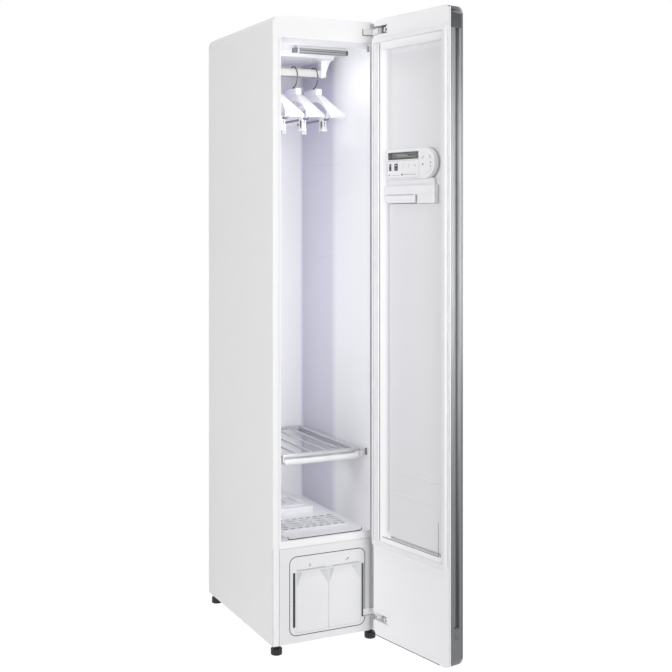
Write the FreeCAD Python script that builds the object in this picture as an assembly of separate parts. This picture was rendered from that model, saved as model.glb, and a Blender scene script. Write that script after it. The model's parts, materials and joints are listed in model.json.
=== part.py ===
"""Clothes care steam cabinet: a tall insulated steel cabinet with one full height door.

Millimetres, +Z up, +X to the right of a person facing the door side, front towards -Y.
The origin is the middle of the sole of the front left levelling foot, on the floor.
The door stands open by rest_angle, and every door piece is drawn shut and then turned.
"""
import FreeCAD, Part
import math
import os

os.makedirs("parts", exist_ok=True)
Vec = FreeCAD.Vector

# ---- driving dimensions: the case ----
case_width = 340.0
case_depth = 545.0
total_height = 1850.0
foot_height = 27.0
foot_inset_x = 17.0
foot_inset_y = 15.0
foot_radius = 17.0
foot_stem_radius = 4.0
corner_radius = 25.0
sheet = 1.0
face_sheet = 1.5
flange_depth = 8.0
pan_edge = 14.0
jamb_width = 25.0
header_height = 64.0
lower_panel_height = 278.0
lip_height = 22.0
screw_radius = 4.0
screw_head = 2.5
fit_gap = 0.3

# ---- driving dimensions: the cavity ----
cavity_depth = 483.0
liner_wall = 2.0
ceiling_drop = 14.0
ceiling_slope = 26.0
wall_rib_length = 178.0
wall_rib_pitch = 295.0
wall_rib_top = 1435.0
tray_inset = 24.0
tray_front = 7.0
tray_thickness = 4.0
tray_corner = 22.0

# ---- driving dimensions: hanging bar and its shaker ----
bar_setback = 215.0
bar_side_gap = 47.0
bar_depth = 18.0
bar_height = 27.5
bar_drop = 44.0
shake_travel = 8.0
arm_side_gap = 20.0
arm_width = 26.0
arm_depth = 18.0
cover_side_gap = 52.0
cover_half_depth = 75.0
cover_thickness = 18.0
cover_wall = 2.5
beam_half_depth = 9.0
carriage_thickness = 8.0
carriage_half_length = 60.0
carriage_half_depth = 24.0
slide_gap = 0.4
crank_window = 16.0
motor_radius = 24.0
motor_height = 38.0
motor_plate_half_x = 52.0
motor_leg_y = 65.0
crank_radius = 18.0
crank_shaft_radius = 5.0
crank_shaft_length = 14.0
crank_pin_radius = 3.0

# ---- driving dimensions: hangers ----
hanger_count = 3
hanger_pitch = 69.0
hanger_offset = 14.0
hook_wire = 2.2
hook_radius = 32.0
hook_grip = 16.0
hook_stem_radius = 2.6
hanger_half_length = 185.0
rail_drop = 98.0
rail_radius = 4.0
clip_length = 26.0
clip_offset = 62.0
clip_width = 16.0
clip_drop = 36.0

# ---- driving dimensions: shelf rack ----
shelf_lift = 221.0
shelf_deck_rise = 12.0
shelf_side_gap = 16.0
shelf_front = 32.0
shelf_back = 470.0
shelf_tube_radius = 7.0
shelf_rod_radius = 3.4
shelf_rail_radius = 4.0
shelf_bar_count = 5
boss_radius = 9.0

# ---- driving dimensions: water tanks and their bay ----
bay_left = 52.0
bay_right_inset = 42.0
bay_lift = 21.0
bay_drop = 27.0
bay_corner = 22.0
tank_side_margin_left = 21.0
tank_side_margin_right = 15.0
tank_low_margin = 8.0
tank_high_margin = 43.0
tank_gap = 1.0
tank_depth = 190.0
tank_wall = 2.0
tank_shoulder = 9.0
tank_front_thickness = 20.0
grip_depth = 14.0
grip_height = 45.0
grip_narrowing = 24.0
slot_width = 8.0
slot_low_margin = 23.0
slot_high_margin = 46.0
strip_inset = 6.0
strip_width = 19.5
strip_drop = 11.0

# ---- driving dimensions: the door ----
door_gap = 12.0
door_thickness = 48.0
rest_angle = 100.0
hinge_inset = 6.0
hinge_depth = 24.0
hinge_pin_radius = 4.0
hinge_running_gap = 0.05
hinge_finger = 6.0
hinge_bracket_width = 44.0
hinge_bracket_thickness = 9.0
hinge_bracket_height = 25.0
hinge_low_inset = 56.0
hinge_high_inset = 32.0
hinge_pin_reach = 6.0
notch_length = 66.0
notch_depth = 36.0
door_skin = 2.0
glass_thickness = 7.0
edge_width = 12.0
groove_depth = 8.0
groove_near = 16.0
groove_far = 34.0
groove_low_inset = 109.0
recess_hinge_side = 36.0
recess_flank = 24.0
recess_free_inset = 37.0
recess_top_inset = 92.0
recess_depth = 22.0
gasket_inset = 6.0
gasket_width = 15.0
gasket_low_overlap = 8.0
gasket_top_inset = 55.0

# ---- driving dimensions: controls and trouser clamp on the door ----
panel_start = 60.0
panel_free_gap = 74.0
panel_radius = 44.5
panel_drop = 431.5
panel_wall = 2.5
display_start = 69.0
display_end_gap = 23.0
display_rise = 13.0
display_height = 21.5
display_thickness = 1.5
key_height = 3.0
key_proud = 1.2
key_gap = 0.35
key_seat = 4.2
power_key_start = 74.5
power_key_width = 9.0
start_key_start = 99.0
start_key_width = 14.0
key_drop = 18.5
key_length = 20.0
pad_offset = 13.0
pad_radius = 26.0
clamp_free_gap = 29.0
clamp_drop_below_panel = 62.5
clamp_height = 50.0
clamp_face = 9.0
lever_start = 54.0
lever_end_gap = 86.0
lever_height = 24.0
lever_thickness = 6.4

# ---- driving dimensions: trouser press plate on the door ----
press_start = 62.0
press_free_gap = 11.0
press_lift = 12.0
press_face = 11.0
press_sheet = 3.0
press_edge = 8.0
press_pin_radius = 3.0
press_pin_reach = 6.0

# ---- places worked out from the dimensions ----
left = -foot_inset_x
right = left + case_width
front = -foot_inset_y
back = front + case_depth
middle = (left + right) / 2
bottom = foot_height
top = total_height
seam_z = bottom + lower_panel_height
floor_z = seam_z + lip_height
opening_top = top - header_height
ceiling_z = opening_top - ceiling_drop
cavity_left = left + jamb_width
cavity_right = right - jamb_width
cavity_back = front + cavity_depth
cavity_half = (cavity_right - cavity_left) / 2
bar_y = front + bar_setback
bar_top_z = ceiling_z - bar_drop
bar_half_length = cavity_half - bar_side_gap
arm_outer = cavity_half - arm_side_gap
cover_half_width = cavity_half - cover_side_gap
shelf_z = floor_z + shelf_lift
shelf_deck_z = shelf_z + shelf_deck_rise
shelf_half_width = cavity_half - shelf_side_gap
cover_z = ceiling_z - cover_thickness
carriage_z = cover_z + cover_wall + 2.0
hinge_x = right - hinge_inset
hinge_y = front - door_gap - hinge_depth
hinge_low_z = bottom + hinge_low_inset
hinge_high_z = top - hinge_high_inset
bay_right = case_width - bay_right_inset
bay_bottom = bottom + bay_lift
bay_top = seam_z - bay_drop
tank_zone_left = bay_left + tank_side_margin_left
tank_zone_right = bay_right - tank_side_margin_right
tank_bottom = bay_bottom + tank_low_margin
tank_top = bay_top - tank_high_margin
slot_bottom = bay_bottom + slot_low_margin
slot_top = bay_top - slot_high_margin
strip_right = case_width - strip_inset
strip_left = strip_right - strip_width
strip_top = seam_z - strip_drop
groove_bottom = bottom + groove_low_inset
groove_top = opening_top
recess_free_side = case_width - recess_free_inset
recess_bottom = floor_z - 1.0
recess_top = top - recess_top_inset
gasket_bottom = seam_z - gasket_low_overlap
gasket_top = top - gasket_top_inset
panel_end = recess_free_side - panel_free_gap
panel_z = top - panel_drop
display_end = panel_end - display_end_gap
display_bottom = panel_z + display_rise
display_top = display_bottom + display_height
key_bottom = panel_z - key_drop
key_top = key_bottom + key_length
pad_u = panel_end + pad_offset
clamp_end = recess_free_side - clamp_free_gap
clamp_top = panel_z - clamp_drop_below_panel
clamp_bottom = clamp_top - clamp_height
lever_end = clamp_end - lever_end_gap
press_end = recess_free_side - press_free_gap
press_bottom = recess_bottom + press_lift
door_inner = front - door_gap
machine_front = front + flange_depth + tank_depth + 22.0
machine_top = seam_z - 2.0
tank_mouth_y = front + tank_depth - 62.0


# ---- small makers ----
def block(x0, x1, y0, y1, z0, z1):
    """Box between two corners."""
    return Part.makeBox(x1 - x0, y1 - y0, z1 - z0, Vec(x0, y0, z0))


def rod(start, end, radius):
    """Round rod between two points."""
    along = Vec(*end) - Vec(*start)
    return Part.makeCylinder(radius, along.Length, Vec(*start), along)


def disc(x, y, z, radius, height):
    """Upright cylinder standing on z."""
    return Part.makeCylinder(radius, height, Vec(x, y, z), Vec(0, 0, 1))


def prism(points, direction):
    """Flat polygon pushed along a direction."""
    closed = [Vec(*p) for p in points]
    closed.append(closed[0])
    return Part.Face(Part.makePolygon(closed)).extrude(Vec(*direction))


def rounded_plate(x0, x1, z0, z1, y0, y1, low_radius, high_radius):
    """Plate in the XZ plane whose low and high corners have their own radius."""
    plate = block(x0, x1, y0, y1, z0, z1)
    for radius, level in ((low_radius, z0), (high_radius, z1)):
        if radius <= 0:
            continue
        edges = []
        for edge in plate.Edges:
            a, b = edge.Vertexes[0].Point, edge.Vertexes[-1].Point
            upright = abs(a.x - b.x) < 0.001 and abs(a.z - b.z) < 0.001
            at_corner = min(abs(a.x - x0), abs(a.x - x1)) < 0.001
            if upright and at_corner and abs(a.z - level) < 0.001:
                edges.append(edge)
        plate = plate.makeFillet(radius, edges)
    return plate


def joined(shapes):
    """One solid from several that touch or overlap."""
    whole = shapes[0].multiFuse(shapes[1:])
    return whole.removeSplitter()


def pipe(points, radius, bend):
    """Round tube or hose along straight runs with tangent bends."""
    corners = [Vec(*p) for p in points]
    edges = []
    start = corners[0]
    for before, here, after in zip(corners, corners[1:], corners[2:]):
        arrive = (here - before).normalize()
        leave = (after - here).normalize()
        turn = math.acos(max(-1.0, min(1.0, arrive.dot(leave))))
        trim = bend * math.tan(turn / 2)
        enter, leave_at = here - arrive * trim, here + leave * trim
        chord = (leave - arrive).normalize()
        inset = bend / math.cos(turn / 2) - bend
        edges.append(Part.LineSegment(start, enter).toShape())
        edges.append(Part.Arc(enter, here + chord * inset, leave_at).toShape())
        start = leave_at
    edges.append(Part.LineSegment(start, corners[-1]).toShape())
    wire = Part.Wire(edges)
    first = (corners[1] - corners[0]).normalize()
    profile = Part.Wire([Part.makeCircle(radius, corners[0], first)])
    return wire.makePipeShell([profile], True, False)


def save(name, shape):
    """Write one sub-part as its own STEP file."""
    if shape.ShapeType == "Compound" and len(shape.Solids) == 1:
        shape = shape.Solids[0]
    shape.exportStep(f"parts/{name}.step")
    low, high = shape.BoundBox, shape.BoundBox
    print(f"{name:20s} solids {len(shape.Solids)} valid {shape.isValid()} "
          f"x {low.XMin:.1f}..{high.XMax:.1f} y {low.YMin:.1f}..{high.YMax:.1f} "
          f"z {low.ZMin:.1f}..{high.ZMax:.1f}")


def group(shapes):
    """Several separate solids kept in one sub-part."""
    return Part.makeCompound(shapes)


# ---- door frame of reference: u runs from the hinge edge, p runs in from the inner face ----
def door_block(u0, u1, p0, p1, z0, z1):
    """Box given by its place on the shut door."""
    return block(right - u1, right - u0, door_inner - p1, door_inner - p0, z0, z1)


def door_plate(u0, u1, p0, p1, z0, z1, low_radius, high_radius):
    """Plate with rounded corners given by its place on the shut door."""
    return rounded_plate(right - u1, right - u0, z0, z1, door_inner - p1, door_inner - p0,
                         low_radius, high_radius)


def opened(shape):
    """Swing a piece that was drawn on the shut door to the open rest position."""
    turned = shape.copy()
    turned.rotate(Vec(hinge_x, hinge_y, 0), Vec(0, 0, 1), rest_angle)
    return turned


# ---- the case: folded sheet wrap, back, base, face frame and foam ----
def make_outer_case():
    outer = rounded_plate(left, right, bottom, top, front + flange_depth, back, 0, corner_radius)
    inner = rounded_plate(left + sheet, right - sheet, bottom - 1, top - sheet,
                          front + flange_depth - 1, back + 1, 0, corner_radius - sheet)
    return outer.cut(inner)


def inlet_block(depth):
    """Socket body of the mains inlet, low on the right of the back."""
    x = right - 60.0
    z = bottom + 60.0
    return block(x - 24.0, x + 24.0, back - depth, back, z - 14.0, z + 14.0)


def make_back_panel():
    panel = rounded_plate(left + sheet, right - sheet, bottom + face_sheet, top - sheet,
                          back - sheet, back, 0, corner_radius - sheet)
    rib_count = 3
    for i in range(rib_count):
        x = left + case_width * (i + 1) / (rib_count + 1)
        rib = rod((x, back, seam_z + 120.0), (x, back, top - 160.0), 6.0)
        keep = block(x - 10, x + 10, back, back + 2.0, bottom, top)
        panel = panel.fuse(rib.common(keep).removeSplitter())
    vent_count = 8
    for i in range(vent_count):
        z = bottom + 110.0 + i * 16.0
        panel = panel.cut(block(middle - 110, middle - 10, back - 3, back + 3, z, z + 6.0))
    return panel.cut(inlet_block(20.0)).removeSplitter()


def make_base_pan():
    y0, y1 = front + flange_depth, back - sheet
    outer = block(left + sheet, right - sheet, y0, y1, bottom, bottom + pan_edge)
    inner = block(left + sheet + face_sheet, right - sheet - face_sheet,
                  y0 + face_sheet, y1 - face_sheet, bottom + face_sheet, bottom + pan_edge + 1)
    pan = outer.cut(inner)
    for x, y in foot_places():
        pan = pan.cut(disc(x, stem_place(y), bottom - 1, foot_stem_radius + fit_gap, face_sheet + 2))
    return pan


def stem_place(y):
    """Middle of a foot's screw, kept behind the base pan's front edge."""
    return max(y, front + flange_depth + face_sheet + foot_stem_radius + 1.0)


def foot_places():
    """Middle of each levelling foot."""
    rear = back - foot_inset_y - foot_radius
    return ((0.0, 0.0), (right - foot_inset_x, 0.0), (0.0, rear), (right - foot_inset_x, rear))


def make_foot(stem_y):
    """One fluted foot at the origin, with its screw at stem_y."""
    lobe_count = 8
    lobe_radius = 3.6
    pad_height = 18.0
    neck_radius = 8.0
    pad = disc(0, 0, 0, foot_radius, pad_height)
    pad = pad.makeChamfer(1.5, [e for e in pad.Edges if e.Closed])
    lobe_x = foot_radius + lobe_radius - 2.0
    for i in range(lobe_count):
        flute = disc(lobe_x, 0, -1, lobe_radius, pad_height + 2)
        flute.rotate(Vec(0, 0, 0), Vec(0, 0, 1), 360.0 * (i + 0.5) / lobe_count)
        pad = pad.cut(flute)
    neck = disc(0, 0, pad_height - 0.5, neck_radius, bottom - pad_height + 0.5)
    stem = disc(0, stem_y, bottom, foot_stem_radius, face_sheet + 8.0)
    return joined([pad, neck, stem])


def make_levelling_feet():
    return group([make_foot(stem_place(y) - y).translated(Vec(x, y, 0)) for x, y in foot_places()])


def make_front_frame():
    outer = rounded_plate(left, right, seam_z, top, front, front + flange_depth, 0, corner_radius)
    hollow = rounded_plate(left + sheet, right - sheet, seam_z - 1, top - sheet,
                           front + face_sheet, front + flange_depth + 1, 0, corner_radius - sheet)
    frame = outer.cut(hollow)
    sill = block(left + sheet, right - sheet, front + face_sheet, front + flange_depth,
                 seam_z, seam_z + sheet)
    opening = block(cavity_left, cavity_right, front - 1, front + face_sheet + 1,
                    floor_z, opening_top)
    opening = opening.makeFillet(4.0, [e for e in opening.Edges if abs(e.Length - face_sheet - 2) < 0.001])
    return joined([frame, sill]).cut(opening)


def liner_outer_space():
    """Space that the liner fills in the foam, its walls included."""
    return block(cavity_left - liner_wall, cavity_right + liner_wall, front + face_sheet,
                 cavity_back + liner_wall, floor_z - liner_wall, opening_top + liner_wall)


def drive_recess():
    """Hollow over the ceiling that holds the shaker's motor."""
    half_x = motor_plate_half_x + 8.0
    half_y = motor_leg_y + 13.0
    return block(middle - half_x, middle + half_x, bar_y - half_y, bar_y + half_y,
                 ceiling_z + liner_wall, ceiling_z + liner_wall + motor_height + 26.0)


def make_inner_liner():
    outer = liner_outer_space()
    hollow = block(cavity_left, cavity_right, front - 1, cavity_back, floor_z, opening_top)
    shell = outer.cut(hollow)
    y0 = front + face_sheet
    ceiling = prism([(cavity_left, y0, opening_top), (cavity_left, y0 + ceiling_slope, ceiling_z),
                     (cavity_left, cavity_back, ceiling_z),
                     (cavity_left, cavity_back, ceiling_z + liner_wall),
                     (cavity_left, y0 + ceiling_slope, ceiling_z + liner_wall),
                     (cavity_left, y0 + liner_wall, opening_top)],
                    (cavity_right - cavity_left, 0, 0))
    lid = block(cavity_left - liner_wall, cavity_right + liner_wall, y0 + ceiling_slope,
                cavity_back + liner_wall, ceiling_z + liner_wall, opening_top + liner_wall)
    shell = joined([shell.cut(lid), ceiling])
    shell = shell.cut(disc(middle, bar_y, ceiling_z - 1, crank_window, liner_wall + 2))
    extras = []
    rib_start = front + 202.0
    for wall_x in (cavity_left, cavity_right):
        for i in range(3):
            z = wall_rib_top - i * wall_rib_pitch
            rib = rod((wall_x, rib_start, z), (wall_x, rib_start + wall_rib_length, z), 1.4)
            extras.append(rib.common(block(cavity_left, cavity_right, front, cavity_back, z - 5, z + 5)))
    for wall_x, side in ((cavity_left, 1), (cavity_right, -1)):
        rail_x = (cavity_right - cavity_left) / 2 - shelf_half_width + shelf_tube_radius
        for y in (front + shelf_front + 18.0, front + shelf_back - 30.0):
            z = shelf_deck_z - shelf_rail_radius - fit_gap - boss_radius
            extras.append(rod((wall_x, y, z), (wall_x + side * (rail_x + 2.0), y, z), boss_radius))
    return joined([shell] + extras)


def make_foam_jacket():
    outer = rounded_plate(left + sheet, right - sheet, seam_z + sheet, top - sheet,
                          front + flange_depth, back - sheet, 0, corner_radius - sheet)
    tub = block(cavity_left - liner_wall, cavity_right + liner_wall, front, cavity_back + liner_wall,
                floor_z - liner_wall, ceiling_z + liner_wall)
    slope = prism([(cavity_left - liner_wall, front, opening_top + liner_wall),
                   (cavity_left - liner_wall, front + face_sheet + ceiling_slope, opening_top + liner_wall),
                   (cavity_left - liner_wall, front + face_sheet + ceiling_slope, ceiling_z),
                   (cavity_left - liner_wall, front, ceiling_z)],
                  (cavity_right - cavity_left + 2 * liner_wall, 0, 0))
    return outer.cut(tub).cut(slope).cut(drive_recess())


def make_case_screws():
    screws = []
    inset = 7.0
    row_count = 5
    for x in (left + inset, right - inset):
        for i in range(row_count):
            z = bottom + 30.0 + i * (top - bottom - 80.0) / (row_count - 1)
            head = Part.makeCone(screw_radius, screw_radius - 1.0, screw_head,
                                 Vec(x, back, z), Vec(0, 1, 0))
            cross = joined([block(x - 2.4, x + 2.4, back + 1.2, back + 4, z - 0.5, z + 0.5),
                            block(x - 0.5, x + 0.5, back + 1.2, back + 4, z - 2.4, z + 2.4)])
            screws.append(head.cut(cross))
    return group(screws)


# ---- cavity floor: tray, steam grille and lint filter ----
def make_cavity_floor():
    x0, x1 = cavity_left + tray_inset, cavity_right - tray_inset
    y0, y1 = front + tray_front, cavity_back - 6.0
    tray = block(x0, x1, y0, y1, floor_z, floor_z + tray_thickness)
    uprights = [e for e in tray.Edges if abs(e.Length - tray_thickness) < 0.001]
    tray = tray.makeFillet(tray_corner, uprights)
    ledge = block(x0 + 2, x1 - 42, front + 262.0, y1 - 20, floor_z + tray_thickness,
                  floor_z + tray_thickness + 16.0)
    ledge = ledge.makeFillet(4.0, [e for e in ledge.Edges if e.BoundBox.ZMin > floor_z + tray_thickness + 15])
    seat = block(x0 + 20, x1 - 62, front + 292.0, y1 - 70, floor_z + tray_thickness + 8.0,
                 floor_z + tray_thickness + 17.0)
    return joined([tray, ledge]).cut(seat)


def make_steam_grille():
    x0, x1 = cavity_left + tray_inset + 4, cavity_right - tray_inset - 18
    y0, y1 = front + 62.0, front + 176.0
    z0 = floor_z + tray_thickness
    hood = block(x0, x1, y0, y1, z0, z0 + 9.0)
    hood = hood.makeFillet(3.5, [e for e in hood.Edges if e.BoundBox.ZMin > z0 + 8])
    hood = hood.cut(block(x0 + 3, x1 - 3, y0 + 3, y1 - 3, z0 - 1, z0 + 6.5))
    column_count, row_count = 5, 3
    for i in range(column_count):
        for j in range(row_count):
            cx = x0 + (x1 - x0) * (i + 0.5) / column_count
            cy = y0 + 20.0 + (y1 - y0 - 36.0) * (j + 0.5) / row_count
            hood = hood.cut(block(cx - 15, cx + 15, cy - 5, cy + 5, z0 + 5, z0 + 12))
    return hood


def make_lint_filter():
    x0, x1 = cavity_left + tray_inset + 20 + fit_gap, cavity_right - tray_inset - 62 - fit_gap
    y0, y1 = front + 292.0 + fit_gap, cavity_back - 76.0 - fit_gap
    z0 = floor_z + tray_thickness + 8.0 + fit_gap
    body = block(x0, x1, y0, y1, z0, z0 + 11.0)
    body = body.makeFillet(2.0, [e for e in body.Edges if e.BoundBox.ZMin > z0 + 10])
    grip = block((x0 + x1) / 2 - 16, (x0 + x1) / 2 + 16, y0 + 10, y0 + 22, z0 + 5, z0 + 12)
    body = body.cut(grip)
    window_count = 4
    for i in range(window_count):
        wx = x0 + 8 + (x1 - x0 - 16) * i / window_count
        width = (x1 - x0 - 16) / window_count - 4
        body = body.cut(block(wx + 2, wx + 2 + width, y0 + 32, y1 - 8, z0 + 7, z0 + 12))
    return body


# ---- ceiling: lamp, shaker cover, motor, crank, carriage and hanging bar ----
def make_lamp_bar():
    x0, x1 = middle - 86.0, middle + 92.0
    y = front + 47.0
    z = ceiling_z - 7.0
    tube = rod((x0, y, z), (x1, y, z), 9.0)
    seat = block(x0 + 20, x1 - 12, y - 9, y + 9, z, ceiling_z)
    saddle = block(x0, x1, y - 6, y + 6, z, ceiling_z)
    lamp = joined([tube.cut(block(x0 - 1, x1 + 1, y - 20, y + 20, ceiling_z, ceiling_z + 20)), seat, saddle])
    groove_count = 4
    for i in range(groove_count):
        ring = rod((x0 + 3 + i * 4, y, z), (x0 + 5 + i * 4, y, z), 12.0)
        core = rod((x0 + 2 + i * 4, y, z), (x0 + 6 + i * 4, y, z), 7.6)
        below = block(x0, x1, y - 14, y + 14, z - 14, z + 1)
        lamp = lamp.cut(ring.cut(core).common(below))
    return lamp.cut(lens_space(0.0))


def lens_space(gap):
    """Strip under the lamp that the lens fills."""
    x0, x1 = middle - 62.0 + gap, middle + 76.0 - gap
    y = front + 47.0
    return block(x0, x1, y - 5.0 + gap, y + 5.0 - gap, ceiling_z - 17.0, ceiling_z - 12.0)


def make_drive_cover():
    x0, x1 = middle - cover_half_width, middle + cover_half_width
    y0, y1 = bar_y - cover_half_depth, bar_y + cover_half_depth
    cover = block(x0, x1, y0, y1, cover_z, ceiling_z)
    cover = cover.makeFillet(6.0, [e for e in cover.Edges if e.BoundBox.ZMax < cover_z + 0.01])
    cover = cover.cut(block(x0 + cover_wall, x1 - cover_wall, y0 + cover_wall, y1 - cover_wall,
                            cover_z + cover_wall, ceiling_z + 1))
    half_y = beam_half_depth + slide_gap
    slot = block(x0 - 1, x1 + 1, bar_y - half_y, bar_y + half_y,
                 carriage_z - slide_gap, carriage_z + carriage_thickness + slide_gap)
    rails = []
    rail_half = carriage_half_length + shake_travel + 4.0
    wall_y = carriage_half_depth + slide_gap
    lip = 3.0
    for side in (-1, 1):
        outer, inner = bar_y + side * (wall_y + 2.0), bar_y + side * wall_y
        edge = bar_y + side * (wall_y - lip)
        rails.append(block(middle - rail_half, middle + rail_half, min(outer, inner), max(outer, inner),
                           cover_z + cover_wall, ceiling_z))
        for z0, z1 in ((cover_z + cover_wall, carriage_z - slide_gap),
                       (carriage_z + carriage_thickness + slide_gap, ceiling_z)):
            rails.append(block(middle - rail_half, middle + rail_half, min(edge, outer),
                               max(edge, outer), z0, z1))
    return joined([cover.cut(slot)] + rails)


def make_carriage():
    z0, z1 = carriage_z, carriage_z + carriage_thickness
    sled = block(middle - carriage_half_length, middle + carriage_half_length,
                 bar_y - carriage_half_depth, bar_y + carriage_half_depth, z0, z1)
    beam = block(middle - arm_outer + 4.0, middle + arm_outer - 4.0,
                 bar_y - beam_half_depth, bar_y + beam_half_depth, z0, z1)
    slot_x = crank_pin_radius + slide_gap
    slot_y = shake_travel + crank_pin_radius + 0.6
    slot = block(middle - slot_x, middle + slot_x, bar_y - slot_y, bar_y + slot_y, z0 - 1, z1 + 1)
    pieces = [sled.fuse(beam).cut(slot)]
    for side in (-1, 1):
        pieces.append(arm_shape(side))
    return joined(pieces).cut(bar_shape(bar_half_length, 0.02))


def arm_shape(side):
    """Curved arm that carries one end of the hanging bar, side is -1 or 1."""
    y = bar_y - arm_depth / 2
    z_low, z_high = bar_top_z - bar_height, carriage_z + carriage_thickness
    inner, outer = arm_outer - arm_width, arm_outer
    foot = bar_half_length + 3.0

    def at(x, z):
        return Vec(middle + side * x, y, z)
    sweep = Part.Arc(at(outer, z_high - 8), at(outer - 7, bar_top_z - 8), at(foot, z_low)).toShape()
    hollow = Part.Arc(at(bar_half_length - 3, bar_top_z), at(inner + 4, bar_top_z + 12),
                      at(inner + 3, z_high - 22)).toShape()
    corners = [at(inner + 3, z_high - 22), at(inner + 3, z_high), at(outer, z_high), at(outer, z_high - 8)]
    edges = [Part.LineSegment(a, b).toShape() for a, b in zip(corners, corners[1:])]
    edges.append(sweep)
    edges.append(Part.LineSegment(at(foot, z_low), at(bar_half_length - 3, z_low)).toShape())
    edges.append(Part.LineSegment(at(bar_half_length - 3, z_low), at(bar_half_length - 3, bar_top_z)).toShape())
    edges.append(hollow)
    return Part.Face(Part.Wire(edges)).extrude(Vec(0, arm_depth, 0))


def bar_shape(half_length, gap):
    """Flat sided bar with a round top and bottom."""
    radius = bar_depth / 2 + gap
    z_high = bar_top_z - bar_depth / 2
    z_low = bar_top_z - bar_height + bar_depth / 2
    x0, x1 = middle - half_length, middle + half_length
    return joined([rod((x0, bar_y, z_high), (x1, bar_y, z_high), radius),
                   rod((x0, bar_y, z_low), (x1, bar_y, z_low), radius),
                   block(x0, x1, bar_y - radius, bar_y + radius, z_low, z_high)])


def motor_stage_z():
    """Under side of the plate that carries the motor."""
    return ceiling_z + liner_wall + 9.0


def make_drive_motor():
    z0 = motor_stage_z()
    stage = block(middle - motor_plate_half_x, middle + motor_plate_half_x,
                  bar_y - motor_leg_y - 5, bar_y + motor_leg_y + 5, z0, z0 + 2.0)
    parts = [stage, disc(middle, bar_y, z0 + 2, motor_radius, motor_height)]
    parts.append(disc(middle, bar_y, z0 + 2 + motor_height, 8.0, 3.0))
    for sx in (-1, 1):
        for sy in (-1, 1):
            base = ceiling_z + liner_wall
            parts.append(disc(middle + sx * (motor_plate_half_x - 8.0), bar_y + sy * motor_leg_y,
                              base, 4.0, z0 - base))
    motor = joined(parts)
    shaft_room = disc(middle, bar_y, z0 - 1, crank_shaft_radius + hinge_running_gap, crank_shaft_length + 2)
    return motor.cut(shaft_room)


def make_crank_disc():
    z0 = ceiling_z + liner_wall + 2.0
    plate = disc(middle, bar_y, z0, crank_radius, 5.0)
    shaft = disc(middle, bar_y, z0 + 5.0, crank_shaft_radius, crank_shaft_length)
    pin_end = carriage_z + carriage_thickness + 0.5
    pin = disc(middle, bar_y + shake_travel, pin_end, crank_pin_radius, z0 - pin_end)
    relief = disc(middle, bar_y - 12.0, z0 - 1, 3.0, 7.0)
    return joined([plate, shaft, pin]).cut(relief)


# ---- hangers: moulded body, bent hook and trouser clips ----
def hanger_places():
    first = middle - hanger_offset - hanger_pitch * (hanger_count - 1) / 2
    return [first + i * hanger_pitch for i in range(hanger_count)]


def hook_centre_z():
    return bar_top_z + fit_gap + hook_wire - hook_radius


def neck_top_z():
    return hook_centre_z() - hook_radius - 4.0


def make_hook(x):
    centre = Vec(0, bar_y, hook_centre_z())
    start = centre + Vec(0, 0, -hook_radius)
    middle_point = centre + Vec(0, -hook_radius * math.cos(0.35), hook_radius * math.sin(0.35))
    end = centre + Vec(0, hook_radius * math.cos(0.25), -hook_radius * math.sin(0.25))
    arc = Part.Arc(start, middle_point, end).toShape()
    profile = Part.Wire([Part.makeCircle(hook_wire, start, Vec(0, -1, 0))])
    ring = Part.Wire([arc]).makePipeShell([profile], True, False)
    low = neck_top_z() - hook_grip
    stem = disc(0, bar_y, low, hook_stem_radius, start.z - low)
    hook = joined([ring, stem, Part.makeSphere(hook_stem_radius, start),
                   Part.makeSphere(hook_wire + 0.6, end)])
    return hook.translated(Vec(x, 0, 0))


def make_hanger(x):
    z = neck_top_z()
    stations = ((0.0, 0.0, 32.0, 16.0), (40.0, 7.0, 40.0, 19.0), (88.0, 36.0, 54.0, 27.0),
                (122.0, 58.0, 44.0, 36.0), (152.0, 76.0, 27.0, 44.0), (hanger_half_length, 95.0, 13.0, 50.0))
    halves = []
    for side in (-1, 1):
        sections = []
        for run, drop, height, width in stations:
            y = bar_y + side * run
            high, low = z - drop, z - drop - height
            corners = [Vec(x - width / 2, y, high), Vec(x + width / 2, y, high),
                       Vec(x + width / 2, y, low), Vec(x - width / 2, y, low)]
            corners.append(corners[0])
            sections.append(Part.makePolygon(corners))
        halves.append(Part.makeLoft(sections, True, True))
    neck = disc(x, bar_y, z - 30.0, 8.0, 30.0)
    rail_z = z - rail_drop
    rail_reach = 120.0
    rail = rod((x, bar_y - rail_reach, rail_z), (x, bar_y + rail_reach, rail_z), rail_radius)
    body = joined(halves + [neck, rail])
    return body.cut(disc(x, bar_y, z - hook_grip, hook_stem_radius, hook_grip + 1))


def make_clips(x):
    rail_z = neck_top_z() - rail_drop
    clips = []
    for side in (-1, 1):
        near = bar_y + side * clip_offset
        far = bar_y + side * (clip_offset + clip_length)
        y0, y1 = min(near, far), max(near, far)
        half, waist = clip_width / 2, clip_width / 2 - 2.5
        outline = [(x - waist - 1, y0, rail_z + 6), (x + waist + 1, y0, rail_z + 6),
                   (x + waist, y0, rail_z - 22), (x + half, y0, rail_z - clip_drop),
                   (x - half, y0, rail_z - clip_drop), (x - waist, y0, rail_z - 22)]
        body = prism(outline, (0, y1 - y0, 0))
        mouth = prism([(x - 2.6, y0 - 1, rail_z - 7), (x + 2.6, y0 - 1, rail_z - 7),
                       (x + 0.5, y0 - 1, rail_z - 28), (x + 0.5, y0 - 1, rail_z - clip_drop - 1),
                       (x - 0.5, y0 - 1, rail_z - clip_drop - 1), (x - 0.5, y0 - 1, rail_z - 28)],
                      (0, y1 - y0 + 2, 0))
        hole = rod((x, y0 - 1, rail_z), (x, y1 + 1, rail_z), rail_radius)
        clips.append(body.cut(mouth).cut(hole))
    return group(clips)


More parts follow.
